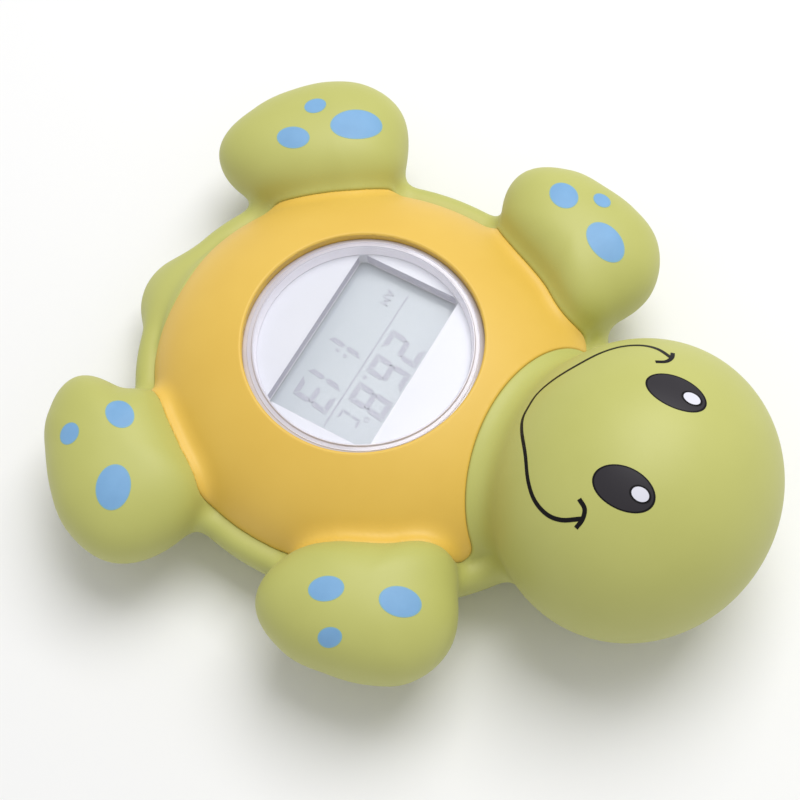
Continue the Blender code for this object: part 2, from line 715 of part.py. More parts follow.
def make_buttons():
    """Two buttons in the floor, each with a sealing ring under its collar and a switch on the board."""
    floor_top = CUP_BOTTOM_Z + CUP_FLOOR
    seal_low, seal_high = floor_top + GAP, floor_top + GAP + 0.6 * MM
    collar_low = seal_high + GAP
    collar_high = collar_low + 1.0 * MM
    switch_high = PCB_TOP_Z - PCB_THICKNESS - GAP
    case_low = switch_high - 2.5 * MM
    nub_low = switch_high - 3.4 * MM
    stem_top = nub_low - BUTTON_TRAVEL - 0.1 * MM
    stem = 1.2 * MM
    low = CUP_BOTTOM_Z + 0.1 * MM
    for label, x in (("mode", -BUTTON_OFFSET), ("set", BUTTON_OFFSET)):
        profile = [
            (0.0, stem_top),
            (stem, stem_top),
            (stem, collar_high),
            (BUTTON_COLLAR_RADIUS, collar_high),
            (BUTTON_COLLAR_RADIUS, collar_low),
            (BUTTON_RADIUS, collar_low),
            (BUTTON_RADIUS, low + 0.4 * MM),
            (BUTTON_RADIUS - 0.4 * MM, low),
            (0.0, low),
        ]
        painted(turned(f"button_{label}", profile, x, WINDOW_Y, 20), GREY)
        inner, outer = BUTTON_RADIUS + GAP, BUTTON_COLLAR_RADIUS
        seal = ring(f"button_seal_{label}", inner, outer, seal_low, seal_high, x, WINDOW_Y, 20)
        painted(seal, RUBBER)
        height = switch_high - case_low
        case = box(f"tact_switch_{label}", (4 * MM, 4 * MM, height), (x, WINDOW_Y, case_low + height / 2))
        join(case, cylinder("nub", 1.1 * MM, nub_low, case_low + 0.5 * MM, x, WINDOW_Y, 14))
        painted(case, EPOXY)


def make_probe():
    """The steel sensor cap in the floor, the thermistor bead in it, and the bead's two leads to the board."""
    y = WINDOW_Y - PROBE_OFFSET
    wall = 0.35 * MM
    low = CUP_BOTTOM_Z - 0.55 * MM
    top = CUP_BOTTOM_Z + CUP_FLOOR + 2.0 * MM
    shoulder_z = CUP_BOTTOM_Z - GAP / 2
    bore = PROBE_STEM_RADIUS - wall
    profile = [
        (0.0, low + wall),
        (bore, low + wall),
        (bore, top),
        (PROBE_STEM_RADIUS, top),
        (PROBE_STEM_RADIUS, shoulder_z),
        (PROBE_RADIUS, shoulder_z),
        (PROBE_RADIUS - 0.3 * MM, low),
        (0.0, low),
    ]
    painted(turned("probe_cap", profile, 0.0, y, 24), STEEL)
    bead_size = Vector((0.9, 0.9, 1.1)) * MM
    painted(ellipsoid("thermistor", (0.0, y, low + wall + GAP + bead_size.z), bead_size, 0.0, 12, 8), EPOXY)
    start = low + wall + 2 * GAP + 2 * bead_size.z
    board_low = PCB_TOP_Z - PCB_THICKNESS - GAP
    for label, side in (("a", -1), ("b", 1)):
        points = [
            (side * 0.5 * MM, y, start),
            (side * 0.6 * MM, y, start + 3 * MM),
            (side * 1.2 * MM, y + 0.5 * MM, start + 6 * MM),
            (side * 1.2 * MM, y + 0.5 * MM, board_low),
        ]
        wire(f"thermistor_lead_{label}", points, 0.25 * MM, COPPER)


clear_scene()
PARTS = new_collection("bath_thermometer_turtle")
CUTTERS = new_collection("cutters", hidden=True)
GREEN = material("green_soft_plastic", (0.58, 0.60, 0.17), 0.45)
YELLOW = material("yellow_soft_plastic", (0.85, 0.50, 0.09), 0.45)
WHITE = material("white_plastic", (0.82, 0.83, 0.88), 0.35)
GREY = material("grey_button_plastic", (0.35, 0.36, 0.38), 0.5)
CLEAR = material("clear_plastic", (0.9, 0.92, 0.95), 0.05)
GLASS = material("display_glass", (0.62, 0.68, 0.70), 0.15)
RUBBER = material("black_rubber", (0.03, 0.03, 0.03), 0.7)
BOARD = material("circuit_board_green", (0.03, 0.20, 0.07), 0.5)
EPOXY = material("black_epoxy", (0.02, 0.02, 0.02), 0.4)
STEEL = material("stainless_steel", (0.62, 0.62, 0.63), 0.25, 1.0)
COPPER = material("tinned_copper", (0.80, 0.45, 0.30), 0.3, 1.0)

make_upper_shell()
make_lower_shell()
make_carapace()
make_window_lens()
make_lens_seal()
make_bezel_plate()
make_lcd()
make_circuit_board()
make_module_cup()
make_flange_parts()
make_coin_cell()
make_contacts()
make_battery_door()
make_buttons()
make_probe()
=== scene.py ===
# %% [markdown]
# # A floating turtle thermometer, cell by cell
# The toy is a hollow turtle. A sealed round capsule with a display sits in its back.
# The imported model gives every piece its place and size. This script only gives the pieces their looks,
# so it starts by loading that model as a fixed frame.

# %% Load the frame
import math

import bpy
import bmesh
import numpy as np
from mathutils import Matrix, Vector


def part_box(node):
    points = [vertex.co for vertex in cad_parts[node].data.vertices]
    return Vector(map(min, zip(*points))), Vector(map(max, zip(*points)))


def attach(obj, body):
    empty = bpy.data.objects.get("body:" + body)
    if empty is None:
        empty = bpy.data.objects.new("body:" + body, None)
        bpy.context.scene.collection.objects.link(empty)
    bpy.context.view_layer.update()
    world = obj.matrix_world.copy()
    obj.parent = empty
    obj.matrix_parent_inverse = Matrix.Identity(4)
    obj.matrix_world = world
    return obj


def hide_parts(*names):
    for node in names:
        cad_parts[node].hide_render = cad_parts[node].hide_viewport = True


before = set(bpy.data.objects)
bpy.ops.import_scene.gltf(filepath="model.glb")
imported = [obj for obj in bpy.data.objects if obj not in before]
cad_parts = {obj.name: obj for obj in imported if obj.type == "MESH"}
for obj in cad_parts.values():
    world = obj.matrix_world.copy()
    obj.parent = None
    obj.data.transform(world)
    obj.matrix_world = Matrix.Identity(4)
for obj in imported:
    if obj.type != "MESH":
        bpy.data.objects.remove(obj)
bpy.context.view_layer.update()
MM = 0.001


def placed(name, data):
    """A new object in the scene that shows the given mesh, curve, lamp or camera."""
    made = bpy.data.objects.new(name, data)
    bpy.context.scene.collection.objects.link(made)
    return made


def belongs(piece, body, slot, *nodes):
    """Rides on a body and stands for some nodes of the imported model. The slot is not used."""
    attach(piece, body)
    if nodes:
        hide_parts(*nodes)
    print(f"{piece.name}: {len(piece.data.polygons)} faces, rides on {body}")
    return piece


def evaluated(holder):
    """The object as it is once its modifiers are worked out."""
    bpy.context.view_layer.update()
    return holder.evaluated_get(bpy.context.evaluated_depsgraph_get())


def mesh_of(name, bm):
    """A mesh from a finished bmesh, which is freed."""
    mesh = bpy.data.meshes.new(name)
    bm.to_mesh(mesh)
    bm.free()
    return mesh


def smoothed(mesh, angle):
    """Smooth shading, with every edge sharper than the angle in degrees kept crisp."""
    mesh.shade_smooth()
    mesh.set_sharp_from_angle(angle=math.radians(angle))


# %% [markdown]
# Sizes come from the frame where the frame knows them. The capsule's upright axis goes through the middle of
# the lens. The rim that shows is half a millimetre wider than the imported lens, and the opening in the yellow
# back is a hair wider than that rim.

# %% Read the key sizes from the frame
lens_low, lens_high = (Vector(corner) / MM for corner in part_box("window_lens"))
plate_low, plate_high = (Vector(corner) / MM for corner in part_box("bezel_plate"))
display_low, display_high = (Vector(corner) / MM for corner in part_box("lcd_glass"))
cup_low, cup_high = (Vector(corner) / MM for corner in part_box("module_cup"))
AXIS_Y = (lens_low.y + lens_high.y) / 2
LENS_RADIUS = (lens_high.x - lens_low.x) / 2
RING_RADIUS = LENS_RADIUS + 0.5
OPENING_RADIUS = RING_RADIUS + 0.03
print(f"capsule axis at y = {AXIS_Y:.1f} mm, lens radius {LENS_RADIUS:.1f} mm")

# %% [markdown]
# ## The soft body
# The head, the flippers, the tail and the bowl flow into each other with soft fillets.
# Boxes with bevels can't do that, and sculpting can't be repeated. So the body is written down as distances:
# each form has a function that says how far a point is outside it, in millimetres, and a smooth minimum
# blends the forms. Where the blended distance is zero, there is the skin.

# %% Distance to a round form
def ellipsoid(points, centre, semi):
    """Distance to an ellipsoid, exact at its skin and close to exact near it."""
    local = points - centre
    near = np.linalg.norm(local / semi, axis=1)
    slope = np.linalg.norm(local / np.square(semi), axis=1) + 1e-9
    return near * (near - 1) / slope


# %% [markdown]
# A flipper is a pillow over an outline. The outline is a closed smooth curve through twelve radii, one every
# 30 degrees, and the pillow's section is a superellipse, which is fuller than an ellipse. The front pair is
# mirrored. The rear pair isn't quite: the far one, at +X, reaches a little further back.

# %% Distance to a flipper
PILLOW_FULLNESS = 2.3
FLIPPER_HALF_HEIGHT = 11.0
FRONT_CENTRE = np.array([40.0, -8.0, 19.1])
FRONT_OUTLINE = (14.3, 16.8, 19.1, 15.7, 11.6, 9.8, 11.0, 16.8, 16.5, 17.2, 16.4, 14.5)
REAR_CENTRE = np.array([38.0, 46.0, 17.0])
REAR_NEAR = (16.7, 13.9, 13.6, 16.1, 18.3, 13.4, 13.9, 12.2, 13.4, 18.3, 19.7, 19.8)
REAR_FAR = (16.6, 15.6, 15.9, 18.6, 22.5, 18.2, 13.9, 12.2, 13.4, 15.5, 15.9, 17.1)


def between(before, here, after, later, t):
    """The Catmull-Rom curve from here to after, at a share t of the way."""
    bend = (2 * before - 5 * here + 4 * after - later) * t**2
    bend = bend + (3 * here - before - 3 * after + later) * t**3
    return 0.5 * (2 * here + (after - before) * t + bend)


def outline_radius(radii, angle):
    """A smooth curve through evenly spaced radii."""
    radii = np.asarray(radii)
    place = angle / (2 * np.pi) * len(radii) % len(radii)
    index = np.floor(place).astype(int) % len(radii)
    t = place - np.floor(place)
    return between(*(radii[(index + k) % len(radii)] for k in (-1, 0, 1, 2)), t)


def pillow_level(local, radii):
    across = np.hypot(local[:, 0], local[:, 1]) / outline_radius(radii, np.arctan2(local[:, 1], local[:, 0]))
    up = np.abs(local[:, 2]) / FLIPPER_HALF_HEIGHT
    return (across**PILLOW_FULLNESS + up**PILLOW_FULLNESS + 1e-12) ** (1 / PILLOW_FULLNESS)


def pillow(points, centre, radii, step=0.05):
    """Distance to a flipper on either side: the turtle is mirrored in the plane x = 0."""
    local = np.column_stack([np.abs(points[:, 0]), points[:, 1], points[:, 2]]) - centre
    level = pillow_level(local, radii)
    slopes = [(pillow_level(local + shift, radii) - level) / step for shift in np.eye(3) * step]
    return (level - 1) / (np.sqrt(np.square(slopes).sum(axis=0)) + 1e-9)


# %% [markdown]
# The bowl is a body of revolution: a flat foot, a rounded side and a round bead at the rim.
# Its section is one closed outline in radius and height, and the distance to it is the distance to the
# nearest stretch of that outline. The toy is longer in front of the capsule and a little longer behind it,
# so the distance is measured in a space that is squeezed there.

# %% Distance to the bowl with its rim bead
FRONT_STRETCH = 1.15
REAR_STRETCH = 1.07
RIM_RADIUS = 42.8
RIM_ROUND = 2.7
RIM_Z = 13.2
FOOT_RADIUS = 33.0


def arc(centre, semi_r, semi_z, start, end, steps):
    angles = np.radians(np.linspace(start, end, steps + 1))
    return np.column_stack([centre[0] + semi_r * np.cos(angles), centre[1] + semi_z * np.sin(angles)])


BOWL_SECTION = np.vstack(
    [
        [[0.0, RIM_Z + RIM_ROUND - 0.4]],
        arc((RIM_RADIUS - RIM_ROUND, RIM_Z), RIM_ROUND, RIM_ROUND, 120, 0, 14),
        arc((FOOT_RADIUS, RIM_Z), RIM_RADIUS - FOOT_RADIUS, RIM_Z, -6, -90, 16),
        [[0.0, 0.0]],
    ]
)


def squeezed_length(points):
    """Length from the capsule's axis along Y, with the front and the rear squeezed back to a circle."""
    along = points[:, 1] - AXIS_Y
    return np.where(along < 0, along / FRONT_STRETCH, along / REAR_STRETCH)


def squeezed(points):
    return np.hypot(points[:, 0], squeezed_length(points))


def bowl(points):
    radius, height = squeezed(points), points[:, 2]
    best = np.full(len(points), 1e9)
    inside = np.zeros(len(points), bool)
    loop = BOWL_SECTION
    for start, end in zip(loop, np.roll(loop, -1, axis=0)):
        edge = end - start
        share = ((radius - start[0]) * edge[0] + (height - start[1]) * edge[1]) / (edge @ edge)
        share = np.clip(share, 0, 1)
        gap = np.hypot(radius - start[0] - share * edge[0], height - start[1] - share * edge[1])
        if abs(start[0]) + abs(end[0]) > 0:
            best = np.minimum(best, gap)
        if start[1] != end[1]:
            crosses = (start[1] > height) != (end[1] > height)
            at = start[0] + (height - start[1]) / (end[1] - start[1]) * edge[0]
            inside ^= crosses & (radius < at)
    return np.where(inside, -best, best)


# %% [markdown]
# Now the forms are blended. The blend's reach sets the fillet: wide at the head, softer at the flippers, and
# almost none where the yellow back meets the bead, because there the real toy has a crease. Nothing goes
# below the floor.

# %% Blend the forms into one skin
DOME_CENTRE = np.array([0.0, AXIS_Y, 11.7])
DOME_SEMI = np.array([39.6, 39.6, 21.5])
HEAD = (np.array([0.0, -40.6, 23.7]), np.array([27.9, 25.1, 23.4]))
TAIL = (np.array([-1.5, 52.3, 10.4]), np.array([12.0, 12.8, 7.2]))
HEAD_BLEND, FLIPPER_BLEND, TAIL_BLEND, BEAD_BLEND = 5.5, 4.0, 2.5, 1.0


def dome(points):
    local = points.copy()
    local[:, 1] = AXIS_Y + squeezed_length(points)
    return ellipsoid(local, DOME_CENTRE, DOME_SEMI)


def blend(a, b, reach):
    """The smaller of two distances, rounded off where they are within reach of each other."""
    share = np.clip(reach - np.abs(a - b), 0, None) / reach
    return np.minimum(a, b) - share**2 * reach / 4


def flippers(points):
    rear = np.where(
        points[:, 0] > 0, pillow(points, REAR_CENTRE, REAR_FAR), pillow(points, REAR_CENTRE, REAR_NEAR)
    )
    return np.minimum(pillow(points, FRONT_CENTRE, FRONT_OUTLINE), rear)


def body_distance(points):
    trunk = blend(dome(points), bowl(points), BEAD_BLEND)
    trunk = blend(trunk, ellipsoid(points, *TAIL), TAIL_BLEND)
    trunk = blend(trunk, flippers(points), FLIPPER_BLEND)
    return np.maximum(blend(trunk, ellipsoid(points, *HEAD), HEAD_BLEND), -points[:, 2])


SLOPE_STEP, LONGEST_STEP = 0.03, 1.5


def settle(points, rounds=8):
    """Moves points onto the skin, a Newton step at a time."""
    for _ in range(rounds):
        here = body_distance(points)
        ahead = [body_distance(points + shift) for shift in np.eye(3) * SLOPE_STEP]
        slope = np.column_stack([(there - here) / SLOPE_STEP for there in ahead])
        step = here / (np.square(slope).sum(axis=1) + 1e-9)
        points = points - np.clip(step, -LONGEST_STEP, LONGEST_STEP)[:, None] * slope
    return points


def edges_of(faces):
    return np.vstack([faces[:, [0, 1]], faces[:, [1, 2]], faces[:, [2, 0]]])


def relax(points, faces):
    """Moves each point to the middle of its neighbours, which evens out the faces."""
    ends = edges_of(faces)
    total, count = np.zeros_like(points), np.zeros(len(points))
    for a, b in (ends.T, ends.T[::-1]):
        np.add.at(total, a, points[b])
        np.add.at(count, a, 1)
    return total / count[:, None]


def skin_normals(points):
    """Directions straight out of the skin."""
    rises = [body_distance(points + step) - body_distance(points - step) for step in np.eye(3) * SLOPE_STEP]
    slope = np.column_stack(rises) / (2 * SLOPE_STEP)
    return slope / (np.linalg.norm(slope, axis=1)[:, None] + 1e-9)


# %% [markdown]
# The skin needs a mesh with even faces. Rough closed forms are put together, a voxel remesh melts them into
# one closed surface, and then every point settles onto the exact skin. The faces stretch a little where a
# fillet fills a corner, so the settled form is melted once more, finer, and settled again. In between, each
# point moves to the middle of its neighbours, so that no face folds over in a crease.

# %% Melt rough forms together and settle them
VOXEL, FINE_VOXEL = 0.9, 0.62


def rough_form(bm, centre, semi, radii=None):
    """An ellipsoid, or a flipper when radii are given, made from a ball of points."""
    full = PILLOW_FULLNESS
    made = bmesh.ops.create_uvsphere(bm, u_segments=48, v_segments=24, radius=1.0)["verts"]
    for vert in made:
        if radii is None:
            vert.co = Vector(centre) + Vector(semi) * vert.co
            continue
        flat = math.hypot(vert.co.x, vert.co.y)
        size = max(1e-6, (flat**full + abs(vert.co.z) ** full) ** (1 / full))
        angle = math.atan2(vert.co.y, vert.co.x)
        reach = float(outline_radius(radii, np.array([angle]))[0]) * flat / size
        x = centre[0] + math.copysign(1, centre[0]) * reach * math.cos(angle)
        z = centre[2] + FLIPPER_HALF_HEIGHT * vert.co.z / size
        vert.co = (x, centre[1] + reach * math.sin(angle), z)
    if radii is not None and centre[0] < 0:
        faces = {face for vert in made for face in vert.link_faces}
        bmesh.ops.reverse_faces(bm, faces=list(faces))
    return list(made)


def rough_body():
    bm = bmesh.new()
    rough_form(bm, HEAD[0], HEAD[1])
    rough_form(bm, TAIL[0], TAIL[1])
    trunk = rough_form(bm, DOME_CENTRE, DOME_SEMI - 0.5)
    trunk += rough_form(bm, (0.0, AXIS_Y, RIM_Z), (RIM_RADIUS, RIM_RADIUS, 2.4))
    low = bmesh.ops.create_cone(
        bm, cap_ends=True, segments=64, radius1=FOOT_RADIUS, radius2=RIM_RADIUS - 1, depth=RIM_Z
    )["verts"]
    for vert in low:
        vert.co += Vector((0.0, AXIS_Y, RIM_Z / 2))
    for vert in trunk + low:
        ahead = vert.co.y - AXIS_Y
        vert.co.y = AXIS_Y + ahead * (FRONT_STRETCH if ahead < 0 else REAR_STRETCH)
    for side, rear in ((1, REAR_FAR), (-1, REAR_NEAR)):
        for centre, radii in ((FRONT_CENTRE, FRONT_OUTLINE), (REAR_CENTRE, rear)):
            rough_form(bm, (side * centre[0], centre[1], centre[2]), None, radii)
    return mesh_of("rough", bm)


def melted(mesh, voxel):
    """The mesh melted into one closed surface with even faces, as points and triangles."""
    holder = placed("melted", mesh)
    melt = holder.modifiers.new("Melt", "REMESH")
    melt.mode = "VOXEL"
    melt.voxel_size = voxel
    final = evaluated(holder)
    done = final.to_mesh()
    done.calc_loop_triangles()
    points = np.empty(len(done.vertices) * 3)
    done.vertices.foreach_get("co", points)
    corners = np.empty(len(done.loop_triangles) * 3, dtype=np.int32)
    done.loop_triangles.foreach_get("vertices", corners)
    final.to_mesh_clear()
    bpy.data.objects.remove(holder)
    return points.reshape(-1, 3), corners.reshape(-1, 3)


first_points, first_faces = melted(rough_body(), VOXEL)
first = bpy.data.meshes.new("first")
first.from_pydata(settle(first_points).tolist(), [], first_faces.tolist())
skin_points, skin_faces = melted(first, FINE_VOXEL)
skin_points = settle(skin_points, 4)
for _ in range(3):
    skin_points = settle(relax(skin_points, skin_faces), 2)
skin_points = settle(skin_points, 2)
print(f"skin: {len(skin_points)} points, {len(skin_faces)} faces,"
      f" worst distance {np.abs(body_distance(skin_points)).max():.3f} mm")

# %% [markdown]
# Colours and shells end along curves on the skin: the edge of the yellow back, its round opening, and the
# seam between the two green halves. Each curve is where some distance is zero. Faces that the curve crosses
# are split there, so the edge is as smooth as the curve and doesn't follow the mesh.

# %% Split faces along a curve
def split_along(points, faces, level):
    """Adds points where a level function is zero, and returns the new points, faces and levels."""
    near = np.abs(level) < 0.02
    level = np.where(near, 0.0, level)
    edges = np.sort(edges_of(faces), axis=1)
    edges, place = np.unique(edges, axis=0, return_inverse=True)
    place = place.reshape(3, -1).T
    first, second = level[edges[:, 0]], level[edges[:, 1]]
    crossed = first * second < 0
    share = first[crossed] / (first[crossed] - second[crossed])
    ends = edges[crossed]
    added = points[ends[:, 0]] + share[:, None] * (points[ends[:, 1]] - points[ends[:, 0]])
    number = np.full(len(edges), -1)
    number[crossed] = len(points) + np.arange(crossed.sum())
    cuts = number[place]
    count = (cuts >= 0).sum(axis=1)
    made = [faces[count == 0]]
    for turn in range(3):
        a, b, c = (np.roll(faces, -turn, axis=1)[:, k] for k in range(3))
        ab, ca = (np.roll(cuts, -turn, axis=1)[:, k] for k in (0, 2))
        two = (count == 2) & (ab >= 0) & (ca >= 0)
        made.append(np.column_stack([a[two], ab[two], ca[two]]))
        made.append(np.column_stack([ab[two], b[two], c[two]]))
        made.append(np.column_stack([ab[two], c[two], ca[two]]))
        one = (count == 1) & (ab >= 0)
        made.append(np.column_stack([a[one], ab[one], c[one]]))
        made.append(np.column_stack([ab[one], b[one], c[one]]))
    return np.vstack([points, added]), np.vstack(made), np.concatenate([level, np.zeros(len(added))])


def side_of(faces, level):
    """Which side of the curve each face is on, once no face crosses it."""
    return level[faces].sum(axis=1) > 0


# %% [markdown]
# The yellow back ends at the bead, at the head's collar, at the flippers and at the tail. Its edge is one
# curve: the smallest of those distances. The corners between them are rounded a little by the same blend.

# %% The outline of the yellow back
BACK_EDGE_Z = 16.0
HEAD_COLLAR, FAR_COLLAR, NEAR_COLLAR, TAIL_COLLAR = 4.3, 0.9, 0.3, 1.6
CORNER_BLEND = 4.0
BACK_EDGE_RADIUS = 39.6


def back_level(points):
    """Positive on the yellow back, negative on the green body, in millimetres from its edge."""
    level = points[:, 2] - BACK_EDGE_Z
    for distance, collar in (
        (ellipsoid(points, *HEAD), HEAD_COLLAR),
        (flippers(points), np.where(points[:, 0] > 0, FAR_COLLAR, NEAR_COLLAR)),
        (ellipsoid(points, *TAIL), TAIL_COLLAR),
    ):
        level = blend(level, distance - collar, CORNER_BLEND)
    return blend(level, BACK_EDGE_RADIUS - squeezed(points), 1.0)


SEAM_Z, RECESS_RADIUS, RECESS_BELOW = 10.0, 28.9, 5.0


def from_axis(points):
    """Distance from the capsule's upright axis."""
    return np.hypot(points[:, 0], points[:, 1] - AXIS_Y)


def opening_level(points):
    return from_axis(points) - OPENING_RADIUS


def seam_level(points):
    return points[:, 2] - SEAM_Z


def recess_level(points):
    """Distance outside the round recess in the foot. It counts only below the seam."""
    return np.where(points[:, 2] < RECESS_BELOW, from_axis(points) - RECESS_RADIUS, 9.0)


# %% [markdown]
# Moulded edges are never sharp. Around each curve the skin is split a few times more, at small distances from
# the edge, and the points between are lowered along a quarter circle. That gives each piece a rounded lip,
# and where two lips meet there is the fine groove that is seen on the toy.

# %% Round the lips and cut the pieces out
LIP = 0.45
LIP_STEPS = (0.1, 0.25, LIP)


def cut_region(points, faces, regions):
    """Keeps the part where all the level functions are positive, with a rounded lip along each edge."""
    for region in regions:
        for distance in (0.0,) + LIP_STEPS:
            level = region(points) - distance
            points, faces, level = split_along(points, faces, level)
            if distance == 0.0:
                faces = faces[side_of(faces, level)]
    used = np.unique(faces)
    order = np.full(len(points), -1)
    order[used] = np.arange(len(used))
    points, faces = points[used], order[faces]
    normals = skin_normals(points)
    for region in regions:
        inwards = np.clip(LIP - region(points), 0, LIP)
        points = points - (LIP - np.sqrt(LIP**2 - inwards**2))[:, None] * normals
    return points, faces, normals


def border_edges(faces):
    """Edges with a face on only one side, in the direction of that face."""
    edges = edges_of(faces)
    key = np.sort(edges, axis=1)
    _, first, counts = np.unique(key, axis=0, return_index=True, return_counts=True)
    return edges[first[counts == 1]]


def shell(name, points, faces, normals, wall, place_inner=None):
    """A closed shell: the skin, a copy of it further in, and a strip that joins them along the border."""
    inner = points - wall * normals
    if place_inner is not None:
        inner = place_inner(points, inner)
    border = border_edges(faces)
    count = len(points)
    start, end = border.T
    strip = [np.column_stack([end, start, start + count]), np.column_stack([end, start + count, end + count])]
    both = np.vstack([faces, faces[:, ::-1] + count, *strip])
    mesh = bpy.data.meshes.new(name)
    mesh.from_pydata((np.vstack([points, inner]) * MM).tolist(), [], both.tolist())
    mesh.validate()
    smoothed(mesh, 40.0)
    return placed(name, mesh)


OPENING_WALL, OPENING_REACH = 1.3, 2.5


def keep_opening(points, inner):
    """The wall of the round opening goes straight down, past the edge of the window's rim."""
    radius, new_radius = from_axis(points), from_axis(inner)
    close = radius < OPENING_RADIUS + OPENING_REACH
    wanted = np.maximum(new_radius, OPENING_RADIUS + 0.02)
    scale = np.where(close, wanted / new_radius, 1.0)
    moved = inner.copy()
    moved[:, 0] = inner[:, 0] * scale
    moved[:, 1] = AXIS_Y + (inner[:, 1] - AXIS_Y) * scale
    moved[:, 2] -= OPENING_WALL * np.clip(1 - (radius - OPENING_RADIUS) / OPENING_REACH, 0, 1)
    return moved


BACK_WALL, BODY_WALL = 1.9, 1.8
back_skin = cut_region(skin_points, skin_faces, [back_level, opening_level])
upper_skin = cut_region(skin_points, skin_faces, [lambda p: -back_level(p), seam_level])
lower_skin = cut_region(skin_points, skin_faces, [lambda p: -seam_level(p), recess_level])
back = shell("turtle_back", *back_skin, BACK_WALL, keep_opening)
upper_body = shell("upper_body", *upper_skin, BODY_WALL)
lower_body = shell("lower_body", *lower_skin, BODY_WALL)
belongs(back, "turtle", "yellow_soft_plastic", "carapace")
belongs(upper_body, "turtle", "green_soft_plastic", "upper_shell")
belongs(lower_body, "turtle", "green_soft_plastic", "lower_shell")

# %% [markdown]
# ## The seat of the capsule
# Under the foot there is a round recess, and from its roof a sleeve rises around the capsule. Both are
# plain turned shapes, so one closed profile is turned about the capsule's axis. The same helper makes every
# other round piece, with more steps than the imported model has, so that rims stay round close up.

# %% Turn a profile about an upright axis
def turned(name, profile, x=0.0, y=None, steps=128, closed=False, smooth=32.0):
    """A closed piece from (radius, height) points. An open profile starts and ends on the axis."""
    y = AXIS_Y if y is None else y
    bm = bmesh.new()
    line = [bm.verts.new((r * MM, 0.0, z * MM)) for r, z in profile]
    pairs = list(zip(line, line[1:])) + ([(line[-1], line[0])] if closed else [])
    edges = [bm.edges.new(pair) for pair in pairs]
    bmesh.ops.spin(
        bm, geom=line + edges, cent=(0, 0, 0), axis=(0, 0, 1), angle=2 * math.pi, steps=steps, use_merge=True
    )
    bmesh.ops.remove_doubles(bm, verts=bm.verts, dist=0.000002)
    bmesh.ops.recalc_face_normals(bm, faces=bm.faces)
    mesh = mesh_of(name, bm)
    mesh.transform(Matrix.Translation((x * MM, y * MM, 0.0)))
    smoothed(mesh, smooth)
    return placed(name, mesh)


RECESS_ROOF, SLEEVE_INNER, SLEEVE_OUTER, SLEEVE_TOP = 4.0, 22.1, 23.7, 26.2
SEAT_WALL, SEAT_LOW = 1.6, 1.7
seat_profile = [
    (SLEEVE_INNER, SLEEVE_TOP), (SLEEVE_OUTER, SLEEVE_TOP), (SLEEVE_OUTER, RECESS_ROOF + SEAT_WALL),
    (RECESS_RADIUS + SEAT_WALL, RECESS_ROOF + SEAT_WALL), (RECESS_RADIUS + SEAT_WALL, SEAT_LOW),
    (RECESS_RADIUS, SEAT_LOW), (RECESS_RADIUS, RECESS_ROOF), (SLEEVE_INNER, RECESS_ROOF),
]
seat = turned("capsule_seat", seat_profile, closed=True)
belongs(seat, "turtle", "green_soft_plastic")

# %% [markdown]
# ## The printed marks
# Blue spots, two eyes and a smile are printed on the skin. Ink has no thickness to speak of, but a flat
# colour map can't be used here, so each mark is a very thin closed sheet that lies on the skin: its top is
# 0.04 mm above it and its underside is sunk into it. A mark is laid out from above, in plan, and dropped
# onto the skin.

# %% Drop points onto the skin
INK, SUNK = 0.04, 0.15
DROP_FROM, DROP_ROUNDS, DROP_SHARE = 52.0, 70, 0.85


def dropped(plan):
    """Points straight below the given x, y places, on the top of the skin."""
    points = np.column_stack([plan, np.full(len(plan), DROP_FROM)])
    for _ in range(DROP_ROUNDS):
        points[:, 2] -= DROP_SHARE * np.clip(body_distance(points), -1.0, 6.0)
    return points


def oval_mark(centre, semi, turn, height=INK, steps=56, rings=7, edge=0.2):
    """Points, faces and edge flags of an oval sheet on the skin, with a thin border ring of its own."""
    shares = list(np.linspace(0, 1 - edge / min(semi), rings)[1:]) + [1.0]
    angles = np.linspace(0, 2 * np.pi, steps, endpoint=False)
    lean = math.radians(turn)
    plan = [np.array([centre])]
    for share in shares:
        along, across = share * semi[0] * np.cos(angles), share * semi[1] * np.sin(angles)
        x = centre[0] + along * math.cos(lean) - across * math.sin(lean)
        y = centre[1] + along * math.sin(lean) + across * math.cos(lean)
        plan.append(np.column_stack([x, y]))
    skin = dropped(np.vstack(plan))
    normals = skin_normals(skin)
    count = len(skin)
    faces, border = [], []
    for ring in range(len(shares)):
        for k in range(steps):
            here, after = 1 + (ring - 1) * steps + k, 1 + (ring - 1) * steps + (k + 1) % steps
            out, out_after = 1 + ring * steps + k, 1 + ring * steps + (k + 1) % steps
            top = [0, out, out_after] if ring == 0 else [here, out, out_after, after]
            faces += [top, [count + index for index in reversed(top)]]
            border += [ring == len(shares) - 1] * 2
    first = 1 + (len(shares) - 1) * steps
    for k in range(steps):
        a, b = first + k, first + (k + 1) % steps
        faces.append([a, a + count, b + count, b])
        border.append(True)
    return np.vstack([skin + height * normals, skin - SUNK * normals]), faces, border


def printed(name, marks):
    """One piece from several marks. Its first material is the ink's, its second the border's."""
    points, faces, borders = [], [], []
    for mark_points, mark_faces, border in marks:
        shift = sum(len(p) for p in points)
        points.append(mark_points)
        faces += [[index + shift for index in face] for face in mark_faces]
        borders += border
    mesh = bpy.data.meshes.new(name)
    mesh.from_pydata((np.vstack(points) * MM).tolist(), [], faces)
    smoothed(mesh, 50.0)
    for face, border in zip(mesh.polygons, borders):
        face.material_index = int(border)
    return belongs(placed(name, mesh), "turtle", "green_soft_plastic")


# %% [markdown]
# Each flipper carries three spots: a large, a medium and a small one. A spot is given by its centre, its two
# half widths and its turn in degrees. The two sides were printed a little differently, and that is kept.

